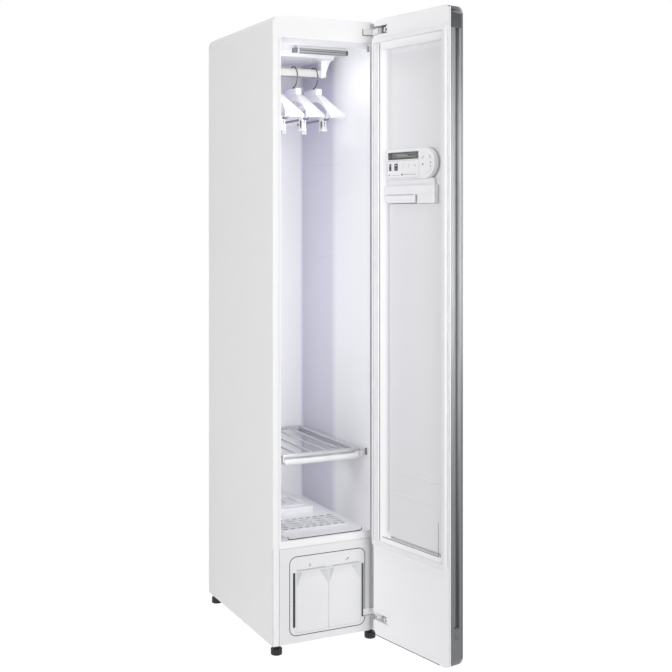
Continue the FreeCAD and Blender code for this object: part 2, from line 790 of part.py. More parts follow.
# ---- shelf rack ----
def make_shelf_rack():
    r, rail_r = shelf_tube_radius, shelf_rail_radius
    x0, x1 = middle - shelf_half_width + r, middle + shelf_half_width - r
    y0, y1 = front + shelf_front, front + shelf_back
    z = shelf_deck_z
    weld = 0.2
    pieces = [rod((x0, y0, shelf_z), (x1, y0, shelf_z), r)]
    for x in (x0, x1):
        pieces.append(Part.makeSphere(r + weld / 4, Vec(x, y0, shelf_z)))
        pieces.append(rod((x, y0, shelf_z), (x, y0, z), rail_r))
        pieces.append(rod((x, y0, z), (x, y1, z), rail_r))
        pieces.append(Part.makeSphere(rail_r + weld, Vec(x, y0, z)))
        pieces.append(Part.makeSphere(rail_r + weld, Vec(x, y1, z)))
    for y in (y0 + 2 * rail_r, y1 - 2 * rail_r):
        pieces.append(rod((x0, y, z), (x1, y, z), rail_r - weld))
    for i in range(1, shelf_bar_count):
        x = x0 + (x1 - x0) * i / shelf_bar_count
        pieces.append(rod((x, y0 + 2 * rail_r, z + 0.5), (x, y1 - 2 * rail_r, z + 0.5), shelf_rod_radius))
    return joined(pieces)


def make_door_sensor():
    body = block(cavity_right - 7.0, cavity_right, front + 3.0, front + 9.0,
                 opening_top - 25.0, opening_top - 7.0)
    return body.makeFillet(1.5, [e for e in body.Edges if e.BoundBox.XMax < cavity_right - 6.9])


# ---- lower front: fascia, bezel, bay sleeve, side grille and the two tanks ----
def bay_outline(gap, y0, y1):
    return rounded_plate(left + bay_left + gap, left + bay_right - gap, bay_bottom + gap, bay_top - gap,
                         y0, y1, bay_corner - gap, bay_corner - gap)


def make_lower_panel():
    outer = block(left, right, front, front + flange_depth, bottom, seam_z - 0.8)
    hollow = block(left + sheet, right - sheet, front + 2.5, front + flange_depth + 1,
                   bottom + sheet, seam_z - 0.8 - sheet)
    panel = outer.cut(hollow)
    strip = block(left + strip_left, left + strip_right, front - 1, front + 3.5, bottom - 1, strip_top)
    line_x = left + jamb_width - 4.0
    line = block(line_x, line_x + 0.8, front - 1, front + 0.7, bottom - 1, seam_z)
    return panel.cut(bay_outline(0.0, front - 1, front + 3.5)).cut(strip).cut(line)


def slot_shape(x, y0, y1):
    """Long upright slot with round ends."""
    half = slot_width / 2
    return joined([block(x - half, x + half, y0, y1, slot_bottom + half, slot_top - half),
                   rod((x, y0, slot_bottom + half), (x, y1, slot_bottom + half), half),
                   rod((x, y0, slot_top - half), (x, y1, slot_top - half), half)])


def make_bay_bezel():
    plate = bay_outline(0.7, front + 0.2, front + 3.0)
    back_rim = block(left + bay_left + 6, left + bay_right - 6, front + 3.0, front + 8.0,
                     bay_bottom + 3, bay_top - 20)
    hole = block(left + tank_zone_left - 0.5, left + tank_zone_right + 0.5, front - 1, front + 12,
                 tank_bottom - 0.8, tank_top + 0.8)
    bezel = joined([plate, back_rim]).cut(hole)
    for x in (left + bay_left + 14.5, left + bay_right - 7.5):
        bezel = bezel.cut(slot_shape(x, front - 1, front + 6.0))
    return bezel


def make_tank_bay():
    y0, y1 = front + flange_depth, front + flange_depth + tank_depth + 8.0
    x0, x1 = left + tank_zone_left - 3.0, left + tank_zone_right + 3.0
    outer = block(x0 - 2, x1 + 2, y0, y1, bottom + pan_edge, tank_top + 14.0)
    inner = block(x0, x1, y0 - 1, y1 - 2, tank_bottom - fit_gap, tank_top + 12.0)
    return outer.cut(inner)


def make_side_grille():
    x0, x1 = left + strip_left + 0.4, left + strip_right - 0.4
    strip = block(x0, x1, front + 2.5, front + 7.0, bottom + sheet, strip_top - 0.4)
    flute_count = 3
    pitch = (x1 - x0) / flute_count
    for i in range(flute_count):
        x = x0 + pitch * (i + 0.5)
        strip = strip.cut(block(x - 1.4, x + 1.4, front + 2, front + 4.2, bottom + 8, strip_top - 6))
    return strip


def grip_cut(x0, x1):
    """Finger scoop under the top edge of a tank front, narrower where it is deeper."""
    y0, y1 = front - 0.2, front + grip_depth
    z_low, z_high = tank_top - 4.0 - grip_height, tank_top - 4.0
    a, b = Vec(x0, y0, z_low), Vec(x1, y0, z_low)
    c, d = Vec(x1, y0, z_high), Vec(x0, y0, z_high)
    e, f = Vec(x1 - grip_narrowing, y1, z_high), Vec(x0 + grip_narrowing, y1, z_high)
    outlines = ([a, b, c, d], [a, d, f], [b, e, c], [d, c, e, f], [a, f, e, b])
    faces = [Part.Face(Part.makePolygon(points + [points[0]])) for points in outlines]
    solid = Part.Solid(Part.Shell(faces))
    return solid if solid.Volume > 0 else solid.reversed()


def make_tank(x0, x1):
    y0, y1 = front + 0.2, front + tank_depth
    face = block(x0, x1, y0, y0 + tank_front_thickness, tank_bottom, tank_top)
    tub = block(x0, x1, y0, y1, tank_bottom, tank_top - tank_shoulder)
    tub = tub.makeFillet(4.0, [e for e in tub.Edges if e.BoundBox.YMin > y1 - 0.1])
    inside = block(x0 + tank_wall, x1 - tank_wall, front + grip_depth + 5, y1 - tank_wall,
                   tank_bottom + tank_wall, tank_top - tank_shoulder - tank_wall)
    mouth = disc((x0 + x1) / 2, tank_mouth_y, tank_top - tank_shoulder - tank_wall - 1, 22.0, tank_wall + 2)
    return joined([face, tub]).cut(grip_cut(x0 + 1.5, x1 - 1.5)).cut(inside).cut(mouth)


def make_tank_cap(x0, x1):
    x, y = (x0 + x1) / 2, tank_mouth_y
    z = tank_top - tank_shoulder
    plug = disc(x, y, z - tank_wall, 21.7, tank_wall)
    rim = disc(x, y, z, 27.0, 5.0)
    tab = block(x - 8, x + 8, y - 34, y - 20, z, z + 3.0)
    return joined([plug, rim, tab])


def tank_spans():
    """Left and right side of the fill tank and of the drain tank."""
    a, b = left + tank_zone_left, left + tank_zone_right
    split = (a + b) / 2
    return (a, split - tank_gap / 2), (split + tank_gap / 2, b)


# ---- machine compartment under the cavity ----
floor_of_machine = bottom + face_sheet
compressor_x, compressor_y = left + 92.0, back - 96.0
blower_x, blower_y = right - 92.0, machine_front + 78.0
coil_x0, coil_x1 = left + 24.0, right - 176.0


def make_compressor():
    radius, height = 62.0, 168.0
    z0 = floor_of_machine + 14.0
    shell = disc(compressor_x, compressor_y, z0, radius, height)
    shell = shell.makeFillet(26.0, [e for e in shell.Edges if e.Curve.TypeId == "Part::GeomCircle"])
    plate = block(compressor_x - 74, compressor_x + 74, compressor_y - 74, compressor_y + 74, z0, z0 + 4.0)
    parts = [shell, plate, disc(compressor_x + 30, compressor_y, z0 + height - 14, 5.0, 34.0)]
    for sx in (-62, 62):
        for sy in (-62, 62):
            parts.append(disc(compressor_x + sx, compressor_y + sy, floor_of_machine, 9.0, 14.0))
    return joined(parts)


def make_heat_exchanger():
    z0, z1 = floor_of_machine, machine_top - 60.0
    y0, y1 = machine_front, machine_front + 62.0
    fin_count = 18
    pitch = (coil_x1 - coil_x0 - 1.2) / (fin_count - 1)
    pieces = [block(coil_x0 + i * pitch, coil_x0 + i * pitch + 1.2, y0, y1, z0, z1)
              for i in range(fin_count)]
    tube_row_count, tube_column_count = 5, 2
    for i in range(tube_row_count):
        for j in range(tube_column_count):
            y = y0 + (y1 - y0) * (j + 0.5) / tube_column_count
            z = z0 + (z1 - z0) * (i + 0.5) / tube_row_count
            pieces.append(rod((coil_x0 - 8, y, z), (coil_x1 + 8, y, z), 4.5))
    return joined(pieces)


blower_z = floor_of_machine + 96.0
blower_radius = 66.0
blower_width = 74.0


def make_blower_housing():
    x0, x1 = blower_x - blower_width / 2, blower_x + blower_width / 2
    scroll = rod((x0, blower_y, blower_z), (x1, blower_y, blower_z), blower_radius)
    outlet = block(x0, x1, blower_y + 6, blower_y + blower_radius, blower_z, machine_top)
    stand = block(x0 + 10, x1 - 10, blower_y - 40, blower_y + 40, floor_of_machine, blower_z)
    solid = joined([scroll, outlet, stand])
    room = rod((x0 + 2.5, blower_y, blower_z), (x1 - 2.5, blower_y, blower_z), blower_radius - 2.5)
    duct = block(x0 + 2.5, x1 - 2.5, blower_y + 12, blower_y + blower_radius - 2.5, blower_z, machine_top + 1)
    eye = rod((x0 - 1, blower_y, blower_z), (x0 + 4, blower_y, blower_z), 40.0)
    motor = rod((x1, blower_y, blower_z), (x1 + 20, blower_y, blower_z), 30.0)
    bore = rod((x1 - 4, blower_y, blower_z), (x1 + 12, blower_y, blower_z), 4.0 + hinge_running_gap)
    return joined([solid.cut(room).cut(duct).cut(eye), motor]).cut(bore)


def make_blower_wheel():
    x0, x1 = blower_x - blower_width / 2 + 8, blower_x + blower_width / 2 - 6
    radius = blower_radius - 10.0
    back_plate = rod((x1 - 3, blower_y, blower_z), (x1, blower_y, blower_z), radius)
    ring = rod((x0, blower_y, blower_z), (x0 + 3, blower_y, blower_z), radius)
    ring = ring.cut(rod((x0 - 1, blower_y, blower_z), (x0 + 4, blower_y, blower_z), radius - 12))
    blades = []
    blade_count = 16
    for i in range(blade_count):
        blade = block(x0, x1, blower_y - 1.2, blower_y + 1.2, blower_z + radius - 12, blower_z + radius - 1)
        blade.rotate(Vec(0, blower_y, blower_z + radius - 6), Vec(1, 0, 0), 35)
        blade.rotate(Vec(0, blower_y, blower_z), Vec(1, 0, 0), 360.0 * i / blade_count)
        blades.append(blade)
    hub = rod((x1 - 20, blower_y, blower_z), (x1, blower_y, blower_z), 12.0)
    shaft = rod((x1, blower_y, blower_z), (x1 + 16, blower_y, blower_z), 4.0)
    return joined([back_plate, ring, hub, shaft] + blades)


steam_half_x = case_width / 2 - 108.0
steam_x, steam_y = right - steam_half_x - 26.0, back - 92.0


def make_steam_generator():
    z0 = floor_of_machine
    half = steam_half_x
    vessel = block(steam_x - half, steam_x + half, steam_y - 50, steam_y + 50, z0 + 12, z0 + 104)
    vessel = vessel.makeFillet(16.0, vessel.Edges)
    flange = block(steam_x - half - 8, steam_x + half + 8, steam_y - 58, steam_y + 58, z0 + 54, z0 + 60)
    feet = [block(steam_x + sx - 8, steam_x + sx + 8, steam_y + sy - 8, steam_y + sy + 8, z0, z0 + 58)
            for sx in (2 - half, half - 2) for sy in (-48, 48)]
    spout = disc(steam_x, steam_y, z0 + 100, 9.0, 26.0)
    return joined([vessel, flange, spout] + feet)


pump_x = right - 149.0
pump_places = ((pump_x, machine_front + 22.0), (pump_x, machine_front + 78.0))


def make_water_pumps():
    pumps = []
    z = floor_of_machine
    for x, y in pump_places:
        base = block(x - 18, x + 18, y - 22, y + 22, z, z + 10.0)
        barrel = rod((x, y - 22, z + 26), (x, y + 16, z + 26), 18.0)
        nose = rod((x, y + 16, z + 26), (x, y + 24, z + 26), 10.0)
        outlet = disc(x, y - 14, z + 40, 5.0, 16.0)
        pumps.append(joined([base, barrel, nose, outlet]))
    return group(pumps)


def make_machine_pipes():
    z = floor_of_machine
    (x1, y1), (x2, y2) = pump_places
    steam_top = z + 126.0
    suction = pipe([(compressor_x + 30, compressor_y, z + 14 + 188.0),
                    (compressor_x + 30, compressor_y, z + 14 + 222.0),
                    (compressor_x + 30, compressor_y - 104.0, z + 14 + 222.0),
                    (compressor_x + 30, compressor_y - 104.0, z + 216.0)], 4.5, 16.0)
    inlet_x, inlet_y = steam_x - steam_half_x + 27.0, steam_y - 50.0
    feed = pipe([(x2, y2 - 14, z + 56.0), (x2, y2 - 14, z + 80.0),
                 (x2, inlet_y - 24, z + 80.0), (inlet_x, inlet_y - 24, z + 80.0),
                 (inlet_x, inlet_y, z + 80.0)], 4.0, 9.0)
    drain = pipe([(x1, y1 - 14, z + 56.0), (x1, y1 - 14, z + 170.0),
                  (x1, y1 - 14 + 40, z + 170.0), (x1, y1 - 14 + 40, machine_top + 1.0)], 4.0, 12.0)
    steam = pipe([(steam_x, steam_y, steam_top), (steam_x, steam_y, steam_top + 60.0),
                  (steam_x - steam_half_x, steam_y, steam_top + 60.0),
                  (steam_x - steam_half_x, steam_y, machine_top + 1.0)], 6.0, 18.0)
    return group([suction, feed, drain, steam])


def make_control_board():
    y0 = machine_front + 40.0
    x0 = left + sheet
    parts = [block(x0, x0 + 8.0, y0 + 8, y0 + 20, floor_of_machine + 70, floor_of_machine + 236)]
    parts.append(block(x0 + 8.0, x0 + 10.0, y0, y0 + 90, floor_of_machine + 66, floor_of_machine + 240))
    for i in range(4):
        z = floor_of_machine + 80 + i * 38
        parts.append(block(x0 + 10.0, x0 + 19.0, y0 + 10 + 6 * i, y0 + 40 + 6 * i, z, z + 22))
    return joined(parts)


def make_power_inlet():
    body = inlet_block(19.0)
    socket = block(right - 76.0, right - 44.0, back - 15.0, back + 1, bottom + 51.0, bottom + 69.0)
    body = body.cut(socket)
    pins = [block(right - 60.0 + x - 1, right - 60.0 + x + 1, back - 16.0, back - 3.0,
                  bottom + 58.0, bottom + 62.0) for x in (-8, 0, 8)]
    return joined([body] + pins)


# ---- hinges ----
def make_hinge_brackets():
    brackets = []
    for z in (hinge_low_z, hinge_high_z):
        z0, z1 = z - hinge_bracket_height / 2, z + hinge_bracket_height / 2
        plate = block(hinge_x + 2 - hinge_bracket_width, hinge_x + 2, front - hinge_bracket_thickness, front, z0, z1)
        plate = plate.makeFillet(3.0, [e for e in plate.Edges if e.BoundBox.YMax < front - 8.9])
        finger = block(hinge_x - hinge_finger, hinge_x + 2, hinge_y, front, z0, z1)
        finger = finger.fuse(block(hinge_x, hinge_x + hinge_finger, hinge_y, front - 14.0, z0, z1))
        eye = disc(hinge_x, hinge_y, z0, hinge_finger, z1 - z0)
        pin = disc(hinge_x, hinge_y, z0 - hinge_pin_reach, hinge_pin_radius, z1 - z0 + 2 * hinge_pin_reach)
        brackets.append(joined([plate, finger, eye, pin]))
    return group(brackets)


def hinge_notches():
    """Clear space in the door round both brackets."""
    clear = 1.0
    return [door_block(-1.0, notch_length, -1.0, notch_depth, z - hinge_bracket_height / 2 - clear,
                       z + hinge_bracket_height / 2 + clear) for z in (hinge_low_z, hinge_high_z)]


def hinge_bores():
    """Running bores for the hinge pins in the door's edge frame."""
    reach = hinge_bracket_height / 2 + hinge_pin_reach + 1.0
    return [disc(hinge_x, hinge_y, z - reach, hinge_pin_radius + hinge_running_gap, 2 * reach)
            for z in (hinge_low_z, hinge_high_z)]


# ---- door: metal edge, front panel, foam, liner, gasket ----
def make_door_edge_frame():
    p0, p1 = door_skin, door_thickness - glass_thickness
    outer = door_plate(0, case_width, p0, p1, bottom, top, corner_radius, corner_radius)
    inner = door_plate(edge_width, case_width - edge_width, p0 - 1, p1 + 1, bottom + edge_width,
                       top - edge_width, corner_radius - edge_width, corner_radius - edge_width)
    groove = door_block(case_width - groove_depth, case_width + 1, groove_near, groove_far,
                        groove_bottom, groove_top)
    frame = outer.cut(inner).cut(groove)
    for cutter in hinge_notches() + hinge_bores():
        frame = frame.cut(cutter)
    return frame


def make_door_front_panel():
    p0 = door_thickness - glass_thickness
    plate = door_plate(0, case_width, p0, door_thickness, bottom, top, corner_radius, corner_radius)
    rim = [e for e in plate.Edges if e.BoundBox.YMax < door_inner - door_thickness + 0.01]
    return plate.makeFillet(1.5, rim)


def recess_block(grow):
    """Dished space of the door liner, sloped on its hinge side."""
    u0, u1 = recess_hinge_side - grow, recess_free_side + grow
    depth = recess_depth + grow
    points = [(u0, -1.0), (u0, grow), (u0 + recess_flank, depth), (u1, depth), (u1, -1.0)]
    z0, z1 = recess_bottom - grow, recess_top + grow
    outline = [(right - u, door_inner - p, z0) for u, p in points]
    return prism(outline, (0, 0, z1 - z0))


def make_door_foam():
    p0, p1 = door_skin, door_thickness - glass_thickness
    fill = door_plate(edge_width, case_width - edge_width, p0, p1, bottom + edge_width, top - edge_width,
                      corner_radius - edge_width, corner_radius - edge_width)
    fill = fill.cut(recess_block(door_skin))
    for cutter in hinge_notches():
        fill = fill.cut(cutter)
    return fill


def make_door_liner():
    skin = door_plate(0, case_width, 0, door_skin, bottom, top, corner_radius, corner_radius)
    dish = recess_block(door_skin).common(
        door_block(0, case_width, 0, door_thickness, bottom, top))
    liner = joined([skin, dish]).cut(recess_block(0.0))
    seam = door_block(-1, case_width + 1, -1, 0.8, gasket_bottom - 2.5, gasket_bottom - 1.5)
    liner = liner.cut(seam)
    liner = joined([liner, press_boss()])
    for cutter in hinge_notches():
        liner = liner.cut(cutter)
    return liner


def make_door_gasket():
    p0, p1 = -(door_gap - fit_gap), 0.0
    outer = door_plate(gasket_inset, case_width - gasket_inset, p0, p1, gasket_bottom, gasket_top, 9.0, 9.0)
    inner = door_block(gasket_inset + gasket_width, case_width - gasket_inset - gasket_width,
                       p0 - 1, p1 + 1, gasket_bottom + gasket_width, gasket_top - gasket_width)
    waist_outer = door_block(0, case_width, p1 - 6.0, p1 - 2.0, gasket_bottom - 5, gasket_top + 5)
    waist_inner = door_block(gasket_inset + 2.5, case_width - gasket_inset - 2.5, p1 - 7.0, p1 - 1.0,
                             gasket_bottom + 2.5, gasket_top - 2.5)
    return outer.cut(inner).cut(waist_outer.cut(waist_inner))


# ---- controls on the door ----
def panel_shape(shrink, p0, p1):
    """Control panel outline: a long block with a half round free end."""
    radius = panel_radius - shrink
    box = door_block(panel_start + shrink, panel_end, p0, p1, panel_z - radius, panel_z + radius)
    end = rod((right - panel_end, door_inner - p0, panel_z), (right - panel_end, door_inner - p1, panel_z), radius)
    return joined([box, end])


def make_control_panel():
    panel = panel_shape(0.0, 0.0, recess_depth)
    panel = panel.makeFillet(2.0, [e for e in panel.Edges if e.BoundBox.YMin > door_inner - 0.01])
    panel = panel.cut(panel_shape(panel_wall, key_seat + panel_wall, recess_depth + 1))
    window = door_block(display_start, display_end, -1, display_thickness, display_bottom, display_top)
    panel = panel.cut(window)
    for outline in (power_key_outline, start_key_outline, pad_outline):
        panel = panel.cut(outline(key_gap, -2.0, key_seat))
    return panel


def power_key_outline(gap, p0, p1):
    return door_block(power_key_start - gap, power_key_start + power_key_width + gap, p0, p1,
                      key_bottom - gap, key_top + gap)


def start_key_outline(gap, p0, p1):
    return door_block(start_key_start - gap, start_key_start + start_key_width + gap, p0, p1,
                      key_bottom - gap, key_top + gap)


def pad_outline(gap, p0, p1):
    return rod((right - pad_u, door_inner - p0, panel_z), (right - pad_u, door_inner - p1, panel_z),
               pad_radius + gap)


def make_display_window():
    return door_block(display_start + 0.2, display_end - 0.2, 0.1, display_thickness,
                      display_bottom + 0.2, display_top - 0.2)


def make_key(outline):
    cap = outline(0.0, -key_proud, key_height)
    return cap.makeFillet(0.6, [e for e in cap.Edges if e.BoundBox.YMin > door_inner + key_proud - 0.01])


def make_clamp_block():
    u_face = recess_hinge_side + recess_flank * clamp_face / recess_depth
    points = [(u_face, clamp_face), (clamp_end, clamp_face), (clamp_end, recess_depth),
              (recess_hinge_side + recess_flank, recess_depth)]
    outline = [(right - u, door_inner - p, clamp_bottom) for u, p in points]
    block_body = prism(outline, (0, 0, clamp_top - clamp_bottom))
    shelf = door_block(lever_start - 6, clamp_end, 3.0, clamp_face, clamp_bottom + lever_height + 1.0, clamp_top)
    cheek = door_block(lever_end + 1.0, clamp_end, clamp_face - 3.0, clamp_face, clamp_bottom,
                       clamp_bottom + lever_height + 1.0)
    return joined([block_body, shelf, cheek]).cut(press_pin(hinge_running_gap))


def lever_axis():
    """Place of the lever's pin, as p and z."""
    return clamp_face - fit_gap - lever_thickness / 2, clamp_bottom + lever_height - lever_thickness / 2


def make_clamp_lever():
    axis_p, axis_z = lever_axis()
    half = lever_thickness / 2
    flap = door_block(lever_start, lever_end, axis_p - half, axis_p + half, clamp_bottom + 0.5, axis_z)
    roll = rod((right - lever_start, door_inner - axis_p, axis_z),
               (right - lever_end, door_inner - axis_p, axis_z), half)
    return joined([flap, roll])


def press_pin(gap):
    """Upright pin of the press plate, from its lower boss up into the clamp block."""
    p = press_face + press_pin_radius + 1.0
    return rod((right - press_start, door_inner - p, press_bottom - press_pin_reach - gap),
               (right - press_start, door_inner - p, clamp_bottom + press_pin_reach + gap),
               press_pin_radius + gap)


def press_boss():
    """Lower bearing of the press plate, moulded on the floor of the door liner's dish."""
    p0 = press_face - 1.0
    half = press_pin_radius + 3.0
    boss = door_block(press_start - half, press_start + half, p0, recess_depth,
                      recess_bottom, press_bottom - fit_gap)
    return boss.cut(press_pin(hinge_running_gap))


def make_press_plate():
    top_z = clamp_bottom - fit_gap
    p0, p1 = press_face, press_face + press_sheet
    plate = door_block(press_start, press_end, p0, p1, press_bottom, top_z)
    rims = [door_block(press_end - press_sheet, press_end, p0, p0 + press_edge, press_bottom, top_z),
            door_block(press_start, press_end, p0, p0 + press_edge, press_bottom, press_bottom + press_sheet),
            door_block(press_start, press_end, p0, p0 + press_edge, top_z - press_sheet, top_z)]
    ridges = []
    for u0, u1, z in ((press_start + 10, press_end - 46, press_bottom + 182),
                      (press_start + 6, press_end - 30, press_bottom + 123)):
        ridge = rod((right - u0, door_inner - p0, z), (right - u1, door_inner - p0, z), 1.4)
        ridges.append(ridge)
    shell = joined([plate] + rims + ridges)
    rounding = block(right - press_start, right, door_inner - p1 - 30, door_inner, press_bottom - 20, top_z + 20)
    return joined([shell.cut(rounding), press_pin(0.0)])


# ---- write every sub-part ----
static_parts = {
    "outer_case": make_outer_case, "back_panel": make_back_panel, "base_pan": make_base_pan,
    "front_frame": make_front_frame, "inner_liner": make_inner_liner, "foam_jacket": make_foam_jacket,
    "case_screws": make_case_screws, "levelling_feet": make_levelling_feet,
    "cavity_floor": make_cavity_floor, "steam_grille": make_steam_grille,
    "lint_filter": make_lint_filter, "lamp_bar": make_lamp_bar, "drive_cover": make_drive_cover,
    "drive_motor": make_drive_motor, "crank_disc": make_crank_disc, "carriage": make_carriage,
    "shelf_rack": make_shelf_rack, "door_sensor": make_door_sensor, "lower_panel": make_lower_panel,
    "bay_bezel": make_bay_bezel, "tank_bay": make_tank_bay, "side_grille": make_side_grille,
    "compressor": make_compressor, "heat_exchanger": make_heat_exchanger,
    "blower_housing": make_blower_housing, "blower_wheel": make_blower_wheel,
    "steam_generator": make_steam_generator, "water_pumps": make_water_pumps,
    "machine_pipes": make_machine_pipes, "control_board": make_control_board,
    "power_inlet": make_power_inlet, "hinge_brackets": make_hinge_brackets,
}
for name, maker in static_parts.items():
    save(name, maker())
save("lamp_lens", lens_space(0.0))
save("hanging_bar", bar_shape(bar_half_length, 0.0))
for number, place in enumerate(hanger_places(), 1):
    save(f"hanger_{number}", make_hanger(place))
    save(f"hanger_hook_{number}", make_hook(place))
    save(f"hanger_clips_{number}", make_clips(place))
for name, span in zip(("fill_tank", "drain_tank"), tank_spans()):
    save(name, make_tank(*span))
    save(f"{name}_cap", make_tank_cap(*span))
door_parts = {
    "door_edge_frame": make_door_edge_frame, "door_front_panel": make_door_front_panel,
    "door_foam": make_door_foam, "door_liner": make_door_liner, "door_gasket": make_door_gasket,
    "control_panel": make_control_panel, "display_window": make_display_window,
    "clamp_block": make_clamp_block, "clamp_lever": make_clamp_lever,
    "press_plate": make_press_plate,
}
for name, maker in door_parts.items():
    save(name, opened(maker()))
keys = {"power_key": power_key_outline, "start_key": start_key_outline, "select_pad": pad_outline}
for name, outline in keys.items():
    save(name, opened(make_key(outline)))
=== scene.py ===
import json
import math

import bmesh
import bpy
from mathutils import Matrix, Vector


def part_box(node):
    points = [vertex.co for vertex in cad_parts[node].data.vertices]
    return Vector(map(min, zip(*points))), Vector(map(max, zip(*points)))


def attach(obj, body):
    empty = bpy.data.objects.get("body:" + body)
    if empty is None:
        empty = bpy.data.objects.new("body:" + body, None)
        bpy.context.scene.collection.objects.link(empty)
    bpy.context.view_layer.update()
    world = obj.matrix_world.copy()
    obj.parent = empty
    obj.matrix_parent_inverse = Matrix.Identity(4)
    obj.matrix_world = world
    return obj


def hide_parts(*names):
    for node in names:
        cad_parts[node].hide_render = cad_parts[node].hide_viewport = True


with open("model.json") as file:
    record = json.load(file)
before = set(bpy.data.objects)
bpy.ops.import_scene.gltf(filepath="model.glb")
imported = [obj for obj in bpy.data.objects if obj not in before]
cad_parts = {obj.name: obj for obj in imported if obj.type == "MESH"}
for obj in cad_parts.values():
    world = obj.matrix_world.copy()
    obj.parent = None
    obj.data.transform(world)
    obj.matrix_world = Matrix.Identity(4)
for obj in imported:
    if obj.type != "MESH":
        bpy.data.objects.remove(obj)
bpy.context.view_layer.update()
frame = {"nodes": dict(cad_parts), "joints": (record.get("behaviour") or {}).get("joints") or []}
nodes = frame["nodes"]
mm = 0.001


# Camera: stands in front and to the left of the cabinet at chest height, and
# looks level with its frame shifted down, so uprights stay upright.
camera = bpy.data.objects.new("camera", bpy.data.cameras.new("camera"))
bpy.context.scene.collection.objects.link(camera)
level_view, turn_to_right = 90, -26.04
camera.location = (-1.3107, -3.0756, 1.2686)
camera.rotation_euler = (math.radians(level_view), 0, math.radians(turn_to_right))
camera.data.sensor_width = 36
camera.data.lens = 61.72
camera.data.shift_y = -0.1784
bpy.context.scene.camera = camera
bpy.context.scene.view_settings.view_transform = "Standard"


# Studio: a wide white floor that keeps a faint shadow, a white surround, and
# soft lamps that are stronger on the door side than on the long left side.
def join(tree, *links):
    """Links shader nodes. Each link is a node, its output, the next node and its input."""
    for source, output, target, entry in links:
        tree.links.new(source.outputs[output], target.inputs[entry])


def seen_directly(tree):
    """Mask that is 1 for what the camera sees, also in metal and through glass."""
    path = tree.nodes.new("ShaderNodeLightPath")
    last, output = path, "Is Camera Ray"
    for ray in ("Is Glossy Ray", "Is Transmission Ray"):
        either = tree.nodes.new("ShaderNodeMath")
        either.operation = "MAXIMUM"
        join(tree, (last, output, either, 0), (path, ray, either, 1))
        last, output = either, 0
    return last


white = (1, 1, 1, 1)
surround_light = 0.03
world = bpy.data.worlds.new("studio_surround")
bpy.context.scene.world = world
world.use_nodes = True
sky = world.node_tree
sky.nodes.clear()
lit = sky.nodes.new("ShaderNodeBackground")
lit.inputs["Color"].default_value = white
lit.inputs["Strength"].default_value = surround_light
shown = sky.nodes.new("ShaderNodeBackground")
shown.inputs["Color"].default_value = white
pick = sky.nodes.new("ShaderNodeMixShader")
sky_out = sky.nodes.new("ShaderNodeOutputWorld")
join(sky, (seen_directly(sky), 0, pick, 0), (lit, 0, pick, 1), (shown, 0, pick, 2), (pick, 0, sky_out, 0))

floor_half = 30
floor_mesh = bmesh.new()
bmesh.ops.create_grid(floor_mesh, x_segments=1, y_segments=1, size=floor_half)
floor_data = bpy.data.meshes.new("studio_floor")
floor_mesh.to_mesh(floor_data)
floor_mesh.free()
floor = bpy.data.objects.new("studio_floor", floor_data)
bpy.context.scene.collection.objects.link(floor)

paper_grey, glow_strength, veil_share = 0.8, 1.2, 0.86
floor_paint = bpy.data.materials.new("floor_paper")
floor_paint.use_nodes = True
tree = floor_paint.node_tree
tree.nodes.clear()
paper = tree.nodes.new("ShaderNodeBsdfDiffuse")
paper.inputs["Color"].default_value = (paper_grey, paper_grey, paper_grey, 1)
glow = tree.nodes.new("ShaderNodeEmission")
glow.inputs["Color"].default_value = white
glow.inputs["Strength"].default_value = glow_strength
veil = tree.nodes.new("ShaderNodeMixShader")
share = tree.nodes.new("ShaderNodeMath")
share.operation = "MULTIPLY"
share.inputs[1].default_value = veil_share
join(tree, (seen_directly(tree), 0, share, 0), (share, 0, veil, 0), (paper, 0, veil, 1), (glow, 0, veil, 2),
     (veil, 0, tree.nodes.new("ShaderNodeOutputMaterial"), 0))
floor.data.materials.append(floor_paint)


def softbox(name, place, target, width, height, watts, colour=white[:3]):
    """Area lamp at place that faces target, with sizes in metres."""
    lamp = bpy.data.lights.new(name, "AREA")
    lamp.shape = "RECTANGLE"
    lamp.size = width
    lamp.size_y = height
    lamp.energy = watts
    lamp.color = colour
    holder = bpy.data.objects.new(name, lamp)
    bpy.context.scene.collection.objects.link(holder)
    holder.location = place
    holder.rotation_euler = (Vector(target) - Vector(place)).to_track_quat("-Z", "Y").to_euler()
    return holder


softbox("front_softbox", (0.3, -4.4, 1.25), (0.15, 0, 0.95), 2.4, 2.6, watts=72)
softbox("left_softbox", (-4.2, -0.6, 1.4), (0.0, 0.2, 1.0), 2.4, 2.6, watts=90)
softbox("corner_softbox", (-2.0, -3.6, 1.5), (0.15, 0, 1.0), 1.6, 2.0, watts=21)
softbox("top_softbox", (-0.6, -1.6, 4.2), (0.15, 0.1, 1.2), 2.0, 2.0, watts=40)
softbox("edge_softbox", (3.3, -2.7, 1.25), (0.37, -0.38, 1.05), 1.0, 1.7, watts=42)


